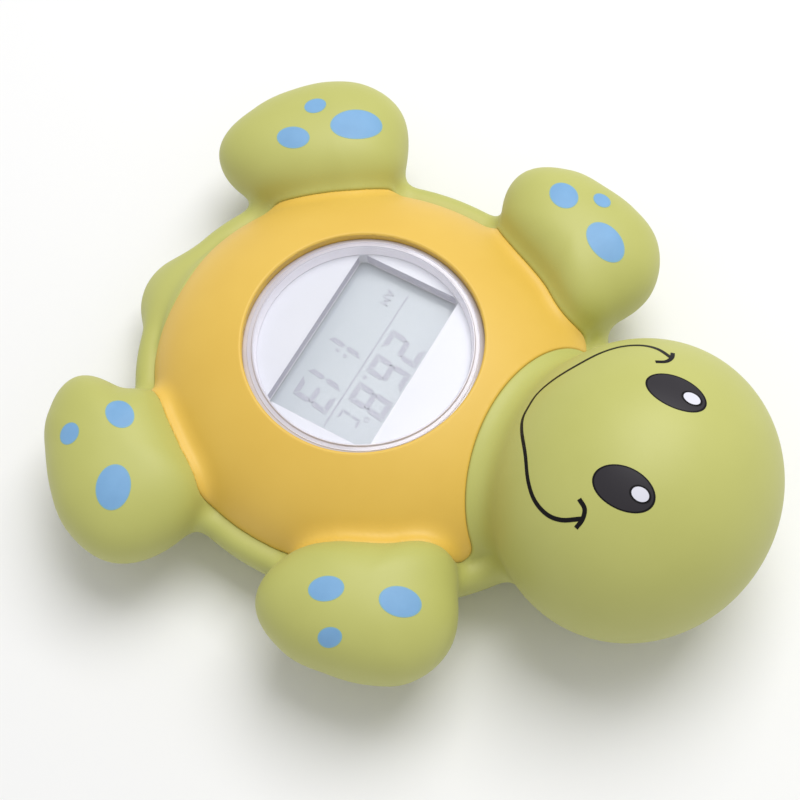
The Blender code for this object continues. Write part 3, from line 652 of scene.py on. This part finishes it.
# %% The twelve spots
SPOTS = {
    "spots_rear_near": (
        ((-45.4, 39.9), (4.0, 3.1), 20), ((-33.2, 46.7), (3.2, 2.4), 62), ((-40.7, 52.8), (2.1, 1.9), 30)
    ),
    "spots_rear_far": (
        ((41.2, 40.8), (5.1, 3.4), -50), ((32.6, 50.1), (3.3, 2.3), -72), ((41.0, 50.1), (2.2, 1.9), -40)
    ),
    "spots_front_near": (
        ((-43.7, -3.5), (3.1, 2.2), -58), ((-50.2, -7.9), (2.1, 1.5), -60), ((-39.5, -15.5), (3.6, 2.6), -70)
    ),
    "spots_front_far": (
        ((44.6, -3.1), (3.3, 2.6), 50), ((47.4, -9.8), (1.9, 1.6), 50), ((39.3, -14.5), (4.3, 3.1), 65)
    ),
}
spots = [printed(name, [oval_mark(*spot) for spot in group]) for name, group in SPOTS.items()]

# %% [markdown]
# An eye is a dark upright oval with a blacker edge, and a small light oval in it is the glint. The glint
# lies a hair higher than the eye, so the two inks never share a surface.

# %% The eyes
eyes, glints = [], []
for side, label in ((-1, "near"), (1, "far")):
    eyes.append(printed(f"eye_{label}", [oval_mark((0.25 + side * 9.75, -40.7), (3.35, 5.4), 0, edge=0.22)]))
    glints.append(
        printed(
            f"glint_{label}",
            [oval_mark((0.5 + side * 9.7, -43.45), (1.35, 1.85), 0, height=0.08, rings=4, edge=0.27)],
        )
    )


# %% [markdown]
# The smile is one thin black line with a small curl across each end. It is a smooth curve through a few
# points of the left half, mirrored for the right half, and the ink is a narrow band along it.

# %% The smile
SMILE_MIDDLE = 0.4
SMILE_HALF = [
    (0.0, -18.7), (2.7, -18.9), (5.6, -20.2), (9.6, -22.9), (13.6, -25.5), (16.3, -28.1), (17.8, -31.1),
    (17.9, -33.9), (16.7, -36.8),
]
CURL = [(14.2, -35.0), (15.2, -36.5), (16.7, -36.95), (18.2, -36.6)]
INK_WIDTH = 0.76


def smooth_line(points, steps=12):
    """A smooth open curve through points."""
    points = np.array(points, float)
    padded = np.vstack([2 * points[0] - points[1], points, 2 * points[-1] - points[-2]])
    found = []
    for before, here, after, later in zip(padded, padded[1:], padded[2:], padded[3:]):
        found += [between(before, here, after, later, t) for t in np.arange(steps) / steps]
    return np.vstack(found + [points[-1:]])


def line_mark(plan, width, height=INK):
    """A narrow closed band on the skin along a line in plan, with blunt ends."""
    middle = dropped(plan)
    normals = skin_normals(middle)
    ahead = np.gradient(middle, axis=0)
    side = np.cross(normals, ahead)
    side *= 0.5 * width / np.linalg.norm(side, axis=1)[:, None]
    top, low = middle + height * normals, middle - SUNK * normals
    points = np.stack([top + side, top - side, low - side, low + side], axis=1).reshape(-1, 3)
    faces = []
    for k in range(len(middle) - 1):
        for corner in range(4):
            a, b = 4 * k + corner, 4 * k + (corner + 1) % 4
            faces.append([a, b, b + 4, a + 4][::-1])
    faces += [[0, 1, 2, 3], [4 * (len(middle) - 1) + corner for corner in (3, 2, 1, 0)]]
    return points, faces, [False] * len(faces)


def mirrored(points, side):
    return [(SMILE_MIDDLE + side * x, y) for x, y in points]


whole_smile = mirrored(SMILE_HALF, -1)[::-1] + mirrored(SMILE_HALF, 1)[1:]
smile = printed(
    "smile",
    [line_mark(smooth_line(whole_smile), INK_WIDTH)]
    + [line_mark(smooth_line(mirrored(CURL, side)), INK_WIDTH, 0.05) for side in (-1, 1)],
)

# %% [markdown]
# ## The display capsule
# The window is a thick clear moulding. Its flat middle is seen through, but its rim is so thick that it
# looks pearly, with fine rings where the moulding steps down. Two turned profiles make it, one for the clear
# pane and one for the rim around it with the skirt that reaches down to the seal.

# %% The window
CLEAR_RADIUS = 20.2
PANE_RADIUS = CLEAR_RADIUS - 0.03
PANE_THICK = 1.5
SKIRT_INNER = LENS_RADIUS - 1.3
PLATE_TOP = plate_high.z + 0.8
lens_top, lens_bottom = lens_high.z, lens_low.z
pane_low = lens_top - PANE_THICK
pane_profile = [(0.0, lens_top), (PANE_RADIUS, lens_top), (PANE_RADIUS, pane_low), (0.0, pane_low)]
STEPS_OUTWARDS = (
    (0.0, 0.0), (0.10, 0.10), (0.24, 0.10), (0.34, -0.05), (0.44, -0.28),
    (1.00, -0.34), (1.07, -0.24), (1.17, -0.24), (1.25, -0.38),
)
EDGE_INWARDS = ((0.45, 0.46), (0.18, 0.54), (0.04, 0.66), (0.0, 0.85), (0.0, 1.85))
rim_profile = [(CLEAR_RADIUS + out, lens_top + up) for out, up in STEPS_OUTWARDS]
rim_profile += [(RING_RADIUS - inwards, lens_top - down) for inwards, down in EDGE_INWARDS]
rim_profile += [
    (LENS_RADIUS, lens_top - 1.95), (LENS_RADIUS, lens_bottom), (SKIRT_INNER, lens_bottom),
    (SKIRT_INNER, PLATE_TOP + 0.06), (CLEAR_RADIUS - 0.3, PLATE_TOP + 0.06), (CLEAR_RADIUS, pane_low),
]
pane = turned("window_pane", pane_profile, steps=180)
rim = turned("window_rim", rim_profile, steps=180, closed=True)
# Faces inside the clear radius, the rim's inner wall, take the second finish: painted light, a lighter colour
# with a faint glow that lifts the shade the ring casts there.
for face in rim.data.polygons:
    middle = face.center / MM
    radius = math.hypot(middle.x, middle.y - AXIS_Y)
    face.material_index = int(radius < CLEAR_RADIUS + 0.02)
belongs(pane, "turtle", "clear_plastic", "window_lens")
belongs(rim, "turtle", "clear_plastic", "window_lens")

# %% [markdown]
# The white plate is a disc with a rectangular opening for the display. A 2D curve with two closed outlines
# fills to just that shape, its extrude gives the thickness and its bevel rounds every edge. Four posts below
# it take the board's screws.

# %% The plate around the display
def rounded_rectangle(width, depth, radius, steps=6):
    found = []
    for quarter, (sx, sy) in enumerate(((1, 1), (-1, 1), (-1, -1), (1, -1))):
        for step in range(steps + 1):
            angle = math.pi / 2 * (quarter + step / steps)
            x = sx * (width / 2 - radius) + radius * math.cos(angle)
            found.append((x, sy * (depth / 2 - radius) + radius * math.sin(angle)))
    return found


def slab(name, outlines, middle, half, edge, rounds):
    """A flat form that fills the space between its outlines, with rounded edges, as a mesh and its bmesh."""
    curve = bpy.data.curves.new(name, "CURVE")
    curve.dimensions, curve.fill_mode = "2D", "BOTH"
    curve.extrude = (half - edge) * MM
    curve.bevel_depth, curve.bevel_resolution = edge * MM, rounds
    for outline in outlines:
        spline = curve.splines.new("POLY")
        spline.points.add(len(outline) - 1)
        for point, (x, y) in zip(spline.points, outline):
            point.co = (x * MM, y * MM, 0.0, 1.0)
        spline.use_cyclic_u = True
    holder = placed(f"{name}_curve", curve)
    holder.location = (0.0, AXIS_Y * MM, middle * MM)
    mesh = bpy.data.meshes.new_from_object(evaluated(holder))
    mesh.transform(holder.matrix_world)
    bpy.data.objects.remove(holder)
    bm = bmesh.new()
    bm.from_mesh(mesh)
    bmesh.ops.remove_doubles(bm, verts=bm.verts, dist=0.000005)
    return mesh, bm


def cylinder(bm, radius, low, high, x=0.0, y=0.0, steps=48):
    """Adds an upright cylinder, with x and y from the capsule's axis."""
    spot = Matrix.Translation((x * MM, (AXIS_Y + y) * MM, (low + high) / 2 * MM))
    bmesh.ops.create_cone(
        bm, cap_ends=True, segments=steps, radius1=radius * MM, radius2=radius * MM,
        depth=(high - low) * MM, matrix=spot,
    )


PLATE_EDGE, PLATE_HALF = 0.22, 1.4
APERTURE, APERTURE_ROUND = (34.2, 20.9), 0.8
plate_radius = (plate_high.x - plate_low.x) / 2
circle = np.radians(np.arange(0, 360, 2.5))
disc_radius = plate_radius - PLATE_EDGE
disc = [(disc_radius * math.cos(a), disc_radius * math.sin(a)) for a in circle]
opening = rounded_rectangle(*(side + 2 * PLATE_EDGE for side in APERTURE), APERTURE_ROUND)
plate_mesh, bm = slab("face_plate", [disc, opening], PLATE_TOP - PLATE_HALF, PLATE_HALF, PLATE_EDGE, 3)
POST_RADIUS, POST_X, POST_Y = 2.0, 8.0, 14.2
post_low, post_high = plate_low.z, plate_high.z - 2.2
for side_x, side_y in ((-1, -1), (-1, 1), (1, -1), (1, 1)):
    cylinder(bm, POST_RADIUS, post_low, post_high, side_x * POST_X, side_y * POST_Y, 32)
bm.to_mesh(plate_mesh)
bm.free()
smoothed(plate_mesh, 40.0)
# Upright faces inside the disc's edge, the walls of the opening and the sides of the posts, take the second
# finish: a darker lilac grey, which is painted shade.
for face in plate_mesh.polygons:
    middle = face.center / MM
    upright_face = abs(face.normal.z) < 0.75
    face.material_index = int(upright_face and math.hypot(middle.x, middle.y - AXIS_Y) < plate_radius - 0.5)
plate = placed("face_plate", plate_mesh)
belongs(plate, "turtle", "white_plastic", "bezel_plate")

# %% [markdown]
# The display glass is a rounded slab a little wider than the opening, so that its edges are hidden under the
# plate. It is made the same way, from one outline.

# %% The display glass
GLASS_EDGE, GLASS_MARGIN = 0.1, 0.5
glass_half = (display_high.z - display_low.z) / 2
glass_outline = rounded_rectangle(APERTURE[0] + GLASS_MARGIN, APERTURE[1] + GLASS_MARGIN, 0.5)
glass_mesh, bm = slab("display_glass", [glass_outline], display_low.z + glass_half, glass_half, GLASS_EDGE, 2)
bm.to_mesh(glass_mesh)
bm.free()
display_glass = placed("display_glass", glass_mesh)
belongs(display_glass, "turtle", "display_glass", "lcd_glass")

# %% [markdown]
# The display shows the water's temperature above a thin line and the time below it. Liquid crystal segments
# are flat six-sided bars that lean a little. Each character is a list of lit segments: a to g clockwise from
# the top, with g in the middle. The reader stands at the head, so the text runs from +X to -X.

# %% The characters on the display
SEGMENTS = {"1": "bc", "2": "abged", "3": "abgcd", "6": "afgedc", "8": "abcdefg", "C": "afed"}
LEAN = math.radians(7.0)
display_top = display_high.z
characters = bmesh.new()


def bar(outline):
    """A thin upright prism on the display from an outline in the reader's frame: right and up."""
    rings = []
    for z in (display_top + 0.01, display_top + 0.05):
        places = [(-right * MM, (AXIS_Y - up) * MM, z * MM) for right, up in outline]
        rings.append([characters.verts.new(place) for place in places])
    bottom, top = rings
    characters.faces.new(top)
    characters.faces.new(bottom[::-1])
    for k in range(len(outline)):
        after = (k + 1) % len(outline)
        characters.faces.new((bottom[k], bottom[after], top[after], top[k]))


def leaning(points, right, up):
    return [(right + x + y * math.tan(LEAN), up + y) for x, y in points]


def segment(kind, width, height, thick, gap=0.12):
    """Outline of one segment of a character that is centred on the origin."""
    half_w, half_h, t = width / 2, height / 2, thick / 2
    level = {"a": half_h - t, "g": 0.0, "d": t - half_h}
    if kind in level:
        y, reach = level[kind], half_w - gap
        if kind == "g":
            inner = reach - t
            tip = reach - 0.2
            return [(-tip, y), (-inner, y + t), (inner, y + t), (tip, y), (inner, y - t), (-inner, y - t)]
        out, inside = (t, -t) if kind == "a" else (-t, t)
        inner = reach - 2 * t
        return [(-reach, y + out), (reach, y + out), (inner, y + inside), (-inner, y + inside)]
    x = half_w - t if kind in "bc" else t - half_w
    outer, inner = (x + t, x - t) if kind in "bc" else (x - t, x + t)
    sign = 1 if kind in "bf" else -1
    start, end = sign * gap, sign * (half_h - gap)
    low, high = start + sign * t, end - sign * 2 * t
    return [(x, start), (outer, low), (outer, end), (inner, high), (inner, low)]


def character(kind, right, up, width, height, thick):
    for lit in SEGMENTS[kind]:
        bar(leaning(segment(lit, width, height, thick), right, up))


def dot(right, up, radius, hole=0.0, steps=16):
    angles = [2 * math.pi * k / steps for k in range(steps)]
    if not hole:
        bar([(right + radius * math.cos(a), up + radius * math.sin(a)) for a in angles])
        return
    for a, b in zip(angles, angles[1:] + [2 * math.pi]):
        corners = [(radius, a), (radius, b), (hole, b), (hole, a)]
        bar([(right + r * math.cos(angle), up + r * math.sin(angle)) for r, angle in corners])


ROW_TEMPERATURE, ROW_TIME = 5.6, -4.1
for kind, right in (("2", -4.7), ("6", 0.95), ("8", 7.55)):
    character(kind, right, ROW_TEMPERATURE, 4.3, 7.8, 1.1)
dot(3.85, ROW_TEMPERATURE - 3.4, 0.42)
dot(11.1, 6.8, 0.55, hole=0.33)
character("C", 12.5, 3.9, 2.1, 4.3, 0.55)
for kind, right in (("1", -1.4), ("1", 6.1), ("3", 11.4)):
    character(kind, right, ROW_TIME, 4.1, 7.7, 1.05)
dot(1.8, -3.3, 0.42)
dot(1.45, -5.1, 0.42)
bar([(-14.8, 0.95), (15.9, 0.75), (15.9, 0.42), (-14.8, 0.62)])


def stroke(start, end, thick=0.26):
    (x0, y0), (x1, y1) = start, end
    length = math.hypot(x1 - x0, y1 - y0)
    nx, ny = -(y1 - y0) / length * thick / 2, (x1 - x0) / length * thick / 2
    bar([(x0 - nx, y0 - ny), (x1 - nx, y1 - ny), (x1 + nx, y1 + ny), (x0 + nx, y0 + ny)])


LETTER_A = ((-14.3, -3.3), (-13.55, -1.6), (-12.95, -3.3))
LETTER_M = ((-12.55, -3.3), (-12.35, -1.6), (-11.8, -2.7), (-11.05, -1.6), (-11.2, -3.3))
for line in (LETTER_A, ((-14.0, -2.75), (-13.2, -2.75)), LETTER_M):
    for start, end in zip(line, line[1:]):
        stroke(start, end)
bmesh.ops.recalc_face_normals(characters, faces=characters.faces)
segments_piece = placed("display_characters", mesh_of("display_characters", characters))
belongs(segments_piece, "turtle", "display_glass")

# %% [markdown]
# ## The underside
# The capsule is closed from below by a white cup with a flange. Its round battery door has a coin slot, two
# small buttons set the clock and the unit, and a steel cap carries the sensor to the water. The cup, the
# door and the screw heads are turned, and their holes and slots are cut with exact booleans.

# %% Cut holes with other shapes
def upright(*sizes, **more):
    """A cylinder to cut with. It takes what cylinder takes."""
    bm = bmesh.new()
    cylinder(bm, *sizes, **more)
    return placed("cutter", mesh_of("cutter", bm))


def block(size, x, y, z):
    bm = bmesh.new()
    place = Matrix.Translation((x * MM, (AXIS_Y + y) * MM, z * MM))
    scale = Matrix.Diagonal((*(side * MM for side in size), 1.0))
    bmesh.ops.create_cube(bm, size=1.0, matrix=place @ scale)
    return placed("cutter", mesh_of("cutter", bm))


def drilled(piece, cutters, smooth=32.0):
    """Cuts all the cutters out of a piece."""
    for cutter in cutters:
        step = piece.modifiers.new("Cut", "BOOLEAN")
        step.operation = "DIFFERENCE"
        step.solver = "EXACT"
        step.object = cutter
    done = bpy.data.meshes.new_from_object(evaluated(piece))
    piece.modifiers.clear()
    piece.data = done
    smoothed(done, smooth)
    for cutter in cutters:
        bpy.data.objects.remove(cutter)


# %% [markdown]
# The cup is one turned profile: a floor, a wall that the window's skirt stands on, and a flange that three
# screws hold against the recess. A shallow turned groove runs around the flange, inside the screws.

# %% The cup with its flange
cup_bottom, cup_top = cup_low.z, cup_high.z
FLANGE_RADIUS, FLANGE_TOP, CUP_FLOOR_TOP = 28.5, 2.6, 3.2
SCREW_RADIUS_LINE = 25.9
SCREW_SPOTS = [
    (SCREW_RADIUS_LINE * math.cos(math.radians(a)), SCREW_RADIUS_LINE * math.sin(math.radians(a)))
    for a in (90, 210, 330)
]
flange_profile = [
    (FLANGE_RADIUS - 0.3, FLANGE_TOP), (FLANGE_RADIUS, FLANGE_TOP - 0.3), (FLANGE_RADIUS, cup_bottom + 0.5),
    (FLANGE_RADIUS - 0.15, cup_bottom + 0.15), (FLANGE_RADIUS - 0.5, cup_bottom),
]
groove_profile = [
    (22.2, cup_bottom), (21.9, cup_bottom + 0.25), (21.3, cup_bottom + 0.25), (21.0, cup_bottom)
]
wall_profile = [
    (0.0, CUP_FLOOR_TOP), (SKIRT_INNER, CUP_FLOOR_TOP), (SKIRT_INNER, cup_top), (LENS_RADIUS, cup_top),
    (LENS_RADIUS, FLANGE_TOP),
]
cup = turned("capsule_cup", wall_profile + flange_profile + groove_profile + [(0.0, cup_bottom)])
BUTTON_X, SENSOR_Y, BELOW = 16.7, -16.5, -1.0
# In turn: the door's seat and bore, the buttons' holes, the sensor's hole, the screws' holes and sunk seats.
holes = [upright(12.9, BELOW, 2.3, steps=96), upright(11.75, BELOW, 8.0, steps=96)]
holes += [upright(2.2, BELOW, 5.0, side * BUTTON_X) for side in (-1, 1)]
holes += [upright(2.4, BELOW, 5.0, 0.0, SENSOR_Y)]
holes += [upright(1.15, BELOW, 5.0, x, y) for x, y in SCREW_SPOTS]
holes += [upright(1.8, BELOW, 1.9, x, y) for x, y in SCREW_SPOTS]
drilled(cup, holes)
belongs(cup, "turtle", "white_plastic", "module_cup")

# %% [markdown]
# The small pieces below are turned too. The door is a plug with a groove for its rubber ring and a slot for
# a coin. A button has a collar inside the cup, so it can't fall out, and a crowned end for the finger. Each
# screw head has a cross cut into it.

# %% The battery door, the buttons, the sensor cap and the screws
door = turned(
    "round_battery_door",
    [
        (0.0, 5.9), (11.4, 5.9), (11.4, 4.6), (10.3, 4.6), (10.3, 3.2), (11.4, 3.2), (11.4, 2.0),
        (12.4, 2.0), (12.6, 1.8), (12.6, 1.1), (12.5, 0.9), (12.3, 0.8), (10.0, 0.8), (9.8, 1.0),
        (9.2, 1.0), (9.0, 0.8), (0.0, 0.8),
    ],
)
drilled(door, [block((15.6, 2.0, 2.4), 0.0, 0.0, cup_bottom)])
belongs(door, "door", "white_plastic", "battery_door")

buttons, screws = [], []
for label, side in (("mode", -1), ("set", 1)):
    top = Vector(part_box(f"button_{label}")[1]).z / MM
    button = turned(
        f"round_button_{label}",
        [
            (0.0, top), (1.2, top), (1.2, 5.4), (2.9, 5.4), (2.9, 4.4), (1.9, 4.4),
            (1.9, 1.5), (1.8, 1.2), (1.55, 1.0), (1.0, 0.9), (0.0, 0.86),
        ],
        x=side * BUTTON_X,
        steps=48,
    )
    buttons.append(belongs(button, f"{label}_button", "grey_button_plastic", f"button_{label}"))

sensor_cap = turned(
    "sensor_cap",
    [
        (0.0, 0.6), (1.75, 0.6), (1.75, 5.2), (2.1, 5.2), (2.1, 0.65), (3.0, 0.65),
        (2.95, 0.45), (2.75, 0.3), (2.3, 0.25), (0.0, 0.25),
    ],
    y=AXIS_Y + SENSOR_Y,
    steps=64,
)
belongs(sensor_cap, "turtle", "stainless_steel", "probe_cap")

for number, (x, y) in enumerate(SCREW_SPOTS, start=1):
    head = [(1.5, 1.6), (1.5, 1.3), (1.42, 1.1), (1.2, 0.95), (0.8, 0.9), (0.0, 0.88)]
    screw = turned(
        f"screw_{number}", [(0.0, 10.8), (0.85, 9.9), (0.85, 1.6)] + head, x=x, y=AXIS_Y + y, steps=40
    )
    drilled(screw, [block((1.9, 0.42, 0.8), x, y, 0.9), block((0.42, 1.9, 0.8), x, y, 0.9)])
    screws.append(belongs(screw, "turtle", "stainless_steel", f"flange_screw_{number}"))

# %% [markdown]
# ## Finishes
# Soft-touch plastic is matt, but not dead: its colour drifts very slightly, fine grain breaks up the
# highlights, and the gloss changes a little from place to place. One helper builds that from two noises, a
# large one for the colour and a fine one for gloss and grain. Positions are read in the object's own metres,
# so the grain has the same size on every piece.

# %% One helper for moulded finishes
def finish(name, light, dark, gloss=(0.4, 0.5), patch=60.0, grain=2500.0, bump=0.05, depth=0.00002, **fixed):
    """A Principled material whose colour and roughness drift and whose surface has a fine grain."""
    made = bpy.data.materials.new(name)
    made.use_nodes = True
    nodes, links = made.node_tree.nodes, made.node_tree.links
    shader = nodes["Principled BSDF"]
    for socket, value in fixed.items():
        shader.inputs[socket.replace("_", " ")].default_value = value
    place = nodes.new("ShaderNodeTexCoord")
    large, fine = nodes.new("ShaderNodeTexNoise"), nodes.new("ShaderNodeTexNoise")
    for noise, scale in ((large, patch), (fine, grain)):
        noise.inputs["Scale"].default_value = scale
        noise.inputs["Detail"].default_value = 3.0
        links.new(place.outputs["Object"], noise.inputs["Vector"])
    ramp = nodes.new("ShaderNodeValToRGB")
    ramp.color_ramp.elements[0].position, ramp.color_ramp.elements[1].position = 0.3, 0.7
    ramp.color_ramp.elements[0].color = (*dark, 1.0)
    ramp.color_ramp.elements[1].color = (*light, 1.0)
    links.new(large.outputs["Fac"], ramp.inputs["Fac"])
    links.new(ramp.outputs["Color"], shader.inputs["Base Color"])
    spread = nodes.new("ShaderNodeMapRange")
    spread.inputs["To Min"].default_value, spread.inputs["To Max"].default_value = gloss
    links.new(fine.outputs["Fac"], spread.inputs["Value"])
    links.new(spread.outputs["Result"], shader.inputs["Roughness"])
    relief = nodes.new("ShaderNodeBump")
    relief.inputs["Strength"].default_value = bump
    relief.inputs["Distance"].default_value = depth
    links.new(fine.outputs["Fac"], relief.inputs["Height"])
    links.new(relief.outputs["Normal"], shader.inputs["Normal"])
    return made


def dress(pieces, *finishes):
    """Puts finishes on pieces. Clearing the slots resets each face's slot number, so those are kept."""
    for piece in pieces:
        numbers = [face.material_index for face in piece.data.polygons]
        piece.data.materials.clear()
        for made in finishes:
            piece.data.materials.append(made)
        piece.data.polygons.foreach_set("material_index", numbers)


# %% [markdown]
# The body's plastics and the inks. The green and the yellow are soft to the touch, so they are the mattest.

# %% The plastics of the body
soft_green = finish("soft_green", (0.518, 0.523, 0.150), (0.490, 0.495, 0.134), (0.46, 0.56),
                    Sheen_Weight=0.05)
soft_yellow = finish("soft_yellow", (0.790, 0.520, 0.088), (0.755, 0.485, 0.074), (0.44, 0.54),
                     Sheen_Weight=0.05)
white = finish("white_plastic_finish", (0.74, 0.75, 0.82), (0.71, 0.72, 0.79), (0.28, 0.36), grain=4000.0)
blue_ink = finish("blue_ink", (0.195, 0.405, 0.675), (0.175, 0.370, 0.625), (0.50, 0.58), patch=220.0)
blue_edge = finish("blue_ink_edge", (0.200, 0.430, 0.600), (0.180, 0.390, 0.540), (0.50, 0.58))
eye_ink = finish("eye_ink", (0.034, 0.031, 0.037), (0.026, 0.023, 0.028), (0.34, 0.42),
                 Specular_IOR_Level=0.25)
black_ink = finish("black_ink", (0.008, 0.007, 0.008), (0.005, 0.004, 0.005), (0.42, 0.50),
                   Specular_IOR_Level=0.15)
glint_ink = finish("glint_ink", (0.76, 0.76, 0.84), (0.70, 0.70, 0.79), (0.25, 0.32))
dress([back], soft_yellow)
dress([upper_body, lower_body, seat], soft_green)
dress(spots, blue_ink, blue_edge)
dress(eyes, eye_ink, black_ink)
dress(glints, glint_ink, black_ink)
dress([smile], black_ink, black_ink)

# %% [markdown]
# The clear plastic is thin and flat, so it hardly bends the light: it is made mostly see-through with alpha,
# which also lets the lamp's light through to the plate below. The rim is pearly under a clear coat. Its inner
# wall, which the ring shades, gets a lighter finish with a faint glow: painted light. The walls inside the
# white plate get a darker lilac grey: painted shade. The display is a grey-blue film, and its characters are
# only a little darker.

# %% The capsule's finishes
clear = finish("clear_window", (0.97, 0.975, 0.99), (0.95, 0.96, 0.98), (0.03, 0.06), bump=0.01, Alpha=0.07)
pearl = finish("pearly_rim", (0.70, 0.68, 0.76), (0.62, 0.60, 0.68), (0.12, 0.20), patch=90.0, bump=0.02,
               Alpha=0.92, Coat_Weight=0.6, Coat_Roughness=0.05)
# Painted light: a lighter, faintly glowing finish for the rim's inner wall, standing in for the light that
# reaches it through the clear plastic.
painted_light_inner_wall = finish("clear_inner_wall_painted_light", (0.84, 0.82, 0.90), (0.78, 0.76, 0.84), (0.15, 0.22), patch=90.0,
                    Emission_Color=(0.80, 0.77, 0.86, 1.0), Emission_Strength=0.16)
film = finish("display_film", (0.485, 0.535, 0.587), (0.46, 0.51, 0.562), (0.15, 0.22), patch=45.0)
# Painted shade: a darker lilac grey for the plate's upright walls, where the lamp's light doesn't reach.
painted_shade_wall = finish("painted_shade_wall", (0.56, 0.535, 0.65), (0.51, 0.485, 0.60), (0.3, 0.4), patch=120.0)
segment_grey = finish("segment_grey", (0.385, 0.395, 0.480), (0.36, 0.37, 0.455), (0.2, 0.3), patch=300.0)
grey = finish("button_grey", (0.22, 0.23, 0.25), (0.18, 0.19, 0.21), (0.45, 0.55))
steel = finish("steel", (0.66, 0.66, 0.67), (0.56, 0.56, 0.57), (0.18, 0.32), patch=500.0, Metallic=1.0)
rubber = finish("rubber", (0.030, 0.030, 0.031), (0.020, 0.020, 0.021), (0.65, 0.8), bump=0.15)
board_green = finish("board_green", (0.040, 0.230, 0.085), (0.022, 0.150, 0.050), (0.30, 0.42), patch=900.0)
epoxy = finish("epoxy", (0.030, 0.030, 0.033), (0.015, 0.015, 0.017), (0.25, 0.45), patch=400.0)
tinned = finish("tinned_wire", (0.74, 0.71, 0.66), (0.62, 0.52, 0.42), (0.22, 0.36), patch=800.0,
                Metallic=1.0)
dress([pane], clear)
dress([rim], pearl, painted_light_inner_wall)
dress([plate], white, painted_shade_wall)
dress([segments_piece], segment_grey)
dress([display_glass], film)
dress([cup, door], white)
dress(buttons, grey)
dress([sensor_cap, *screws], steel)

# %% [markdown]
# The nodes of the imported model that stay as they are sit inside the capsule. They get finishes too, because
# they show when the capsule is opened.

# %% Dress the nodes that stay
INNER = (
    (rubber, "zebra_strip_front zebra_strip_rear lens_seal flange_gasket door_seal"),
    (rubber, "button_seal_mode button_seal_set"),
    (board_green, "circuit_board"),
    (epoxy, "controller_blob tact_switch_mode tact_switch_set thermistor"),
    (steel, "clock_crystal coin_cell contact_minus contact_plus"),
    (steel, "board_screw_1 board_screw_2 board_screw_3 board_screw_4"),
    (tinned, "thermistor_lead_a thermistor_lead_b"),
)
for made, names in INNER:
    for node in names.split():
        for material_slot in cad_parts[node].material_slots:
            material_slot.material = made
    print(made.name, "on", names)

# %% [markdown]
# ## Stage, light and camera
# A plain pale floor, an even white surround and one large soft lamp from above on the far side. The lamp
# gives the soft shade on the near side of every round form.

# %% Floor and light
def stage():
    floor = bpy.data.meshes.new("floor")
    floor.from_pydata([(-3, -3, 0), (3, -3, 0), (3, 3, 0), (-3, 3, 0)], [], [(0, 1, 2, 3)])
    floor_piece = placed("floor", floor)
    dress([floor_piece], finish("pale_floor", (0.90, 0.90, 0.90), (0.89, 0.89, 0.89), (0.7, 0.8), patch=3.0))


def soft_light(name, place, target, size, power):
    lamp = bpy.data.lights.new(name, "AREA")
    lamp.size = size
    lamp.energy = power
    holder = placed(name, lamp)
    holder.location = place
    holder.rotation_euler = (Vector(target) - Vector(place)).to_track_quat("-Z", "Y").to_euler()


stage()
world = bpy.data.worlds.new("studio")
bpy.context.scene.world = world
world.use_nodes = True
world.node_tree.nodes["Background"].inputs["Color"].default_value = (1, 1, 1, 1)
world.node_tree.nodes["Background"].inputs["Strength"].default_value = 0.54
soft_light("key", (0.30, 0.0, 0.70), (0, 0, 0.02), 0.5, 4.1)

# %% [markdown]
# The camera stands on the turtle's right, above its head, and looks down steeply. Its three axes are written
# out, because the picture is also turned in its own plane.

# %% The camera
view = bpy.data.cameras.new("camera")
view.lens = 66.9
view.sensor_width = 36.0
camera = placed("camera", view)
right_axis, up_axis = (0.49649, -0.86698, -0.04298), (0.79863, 0.43683, 0.41396)
back_axis = (-0.34012, -0.23985, 0.90928)
turn = Matrix((right_axis, up_axis, back_axis)).transposed().to_4x4()
camera.matrix_world = Matrix.Translation((-0.09750, -0.06065, 0.27072)) @ turn
bpy.context.scene.camera = camera
bpy.context.scene.view_settings.view_transform = "Standard"
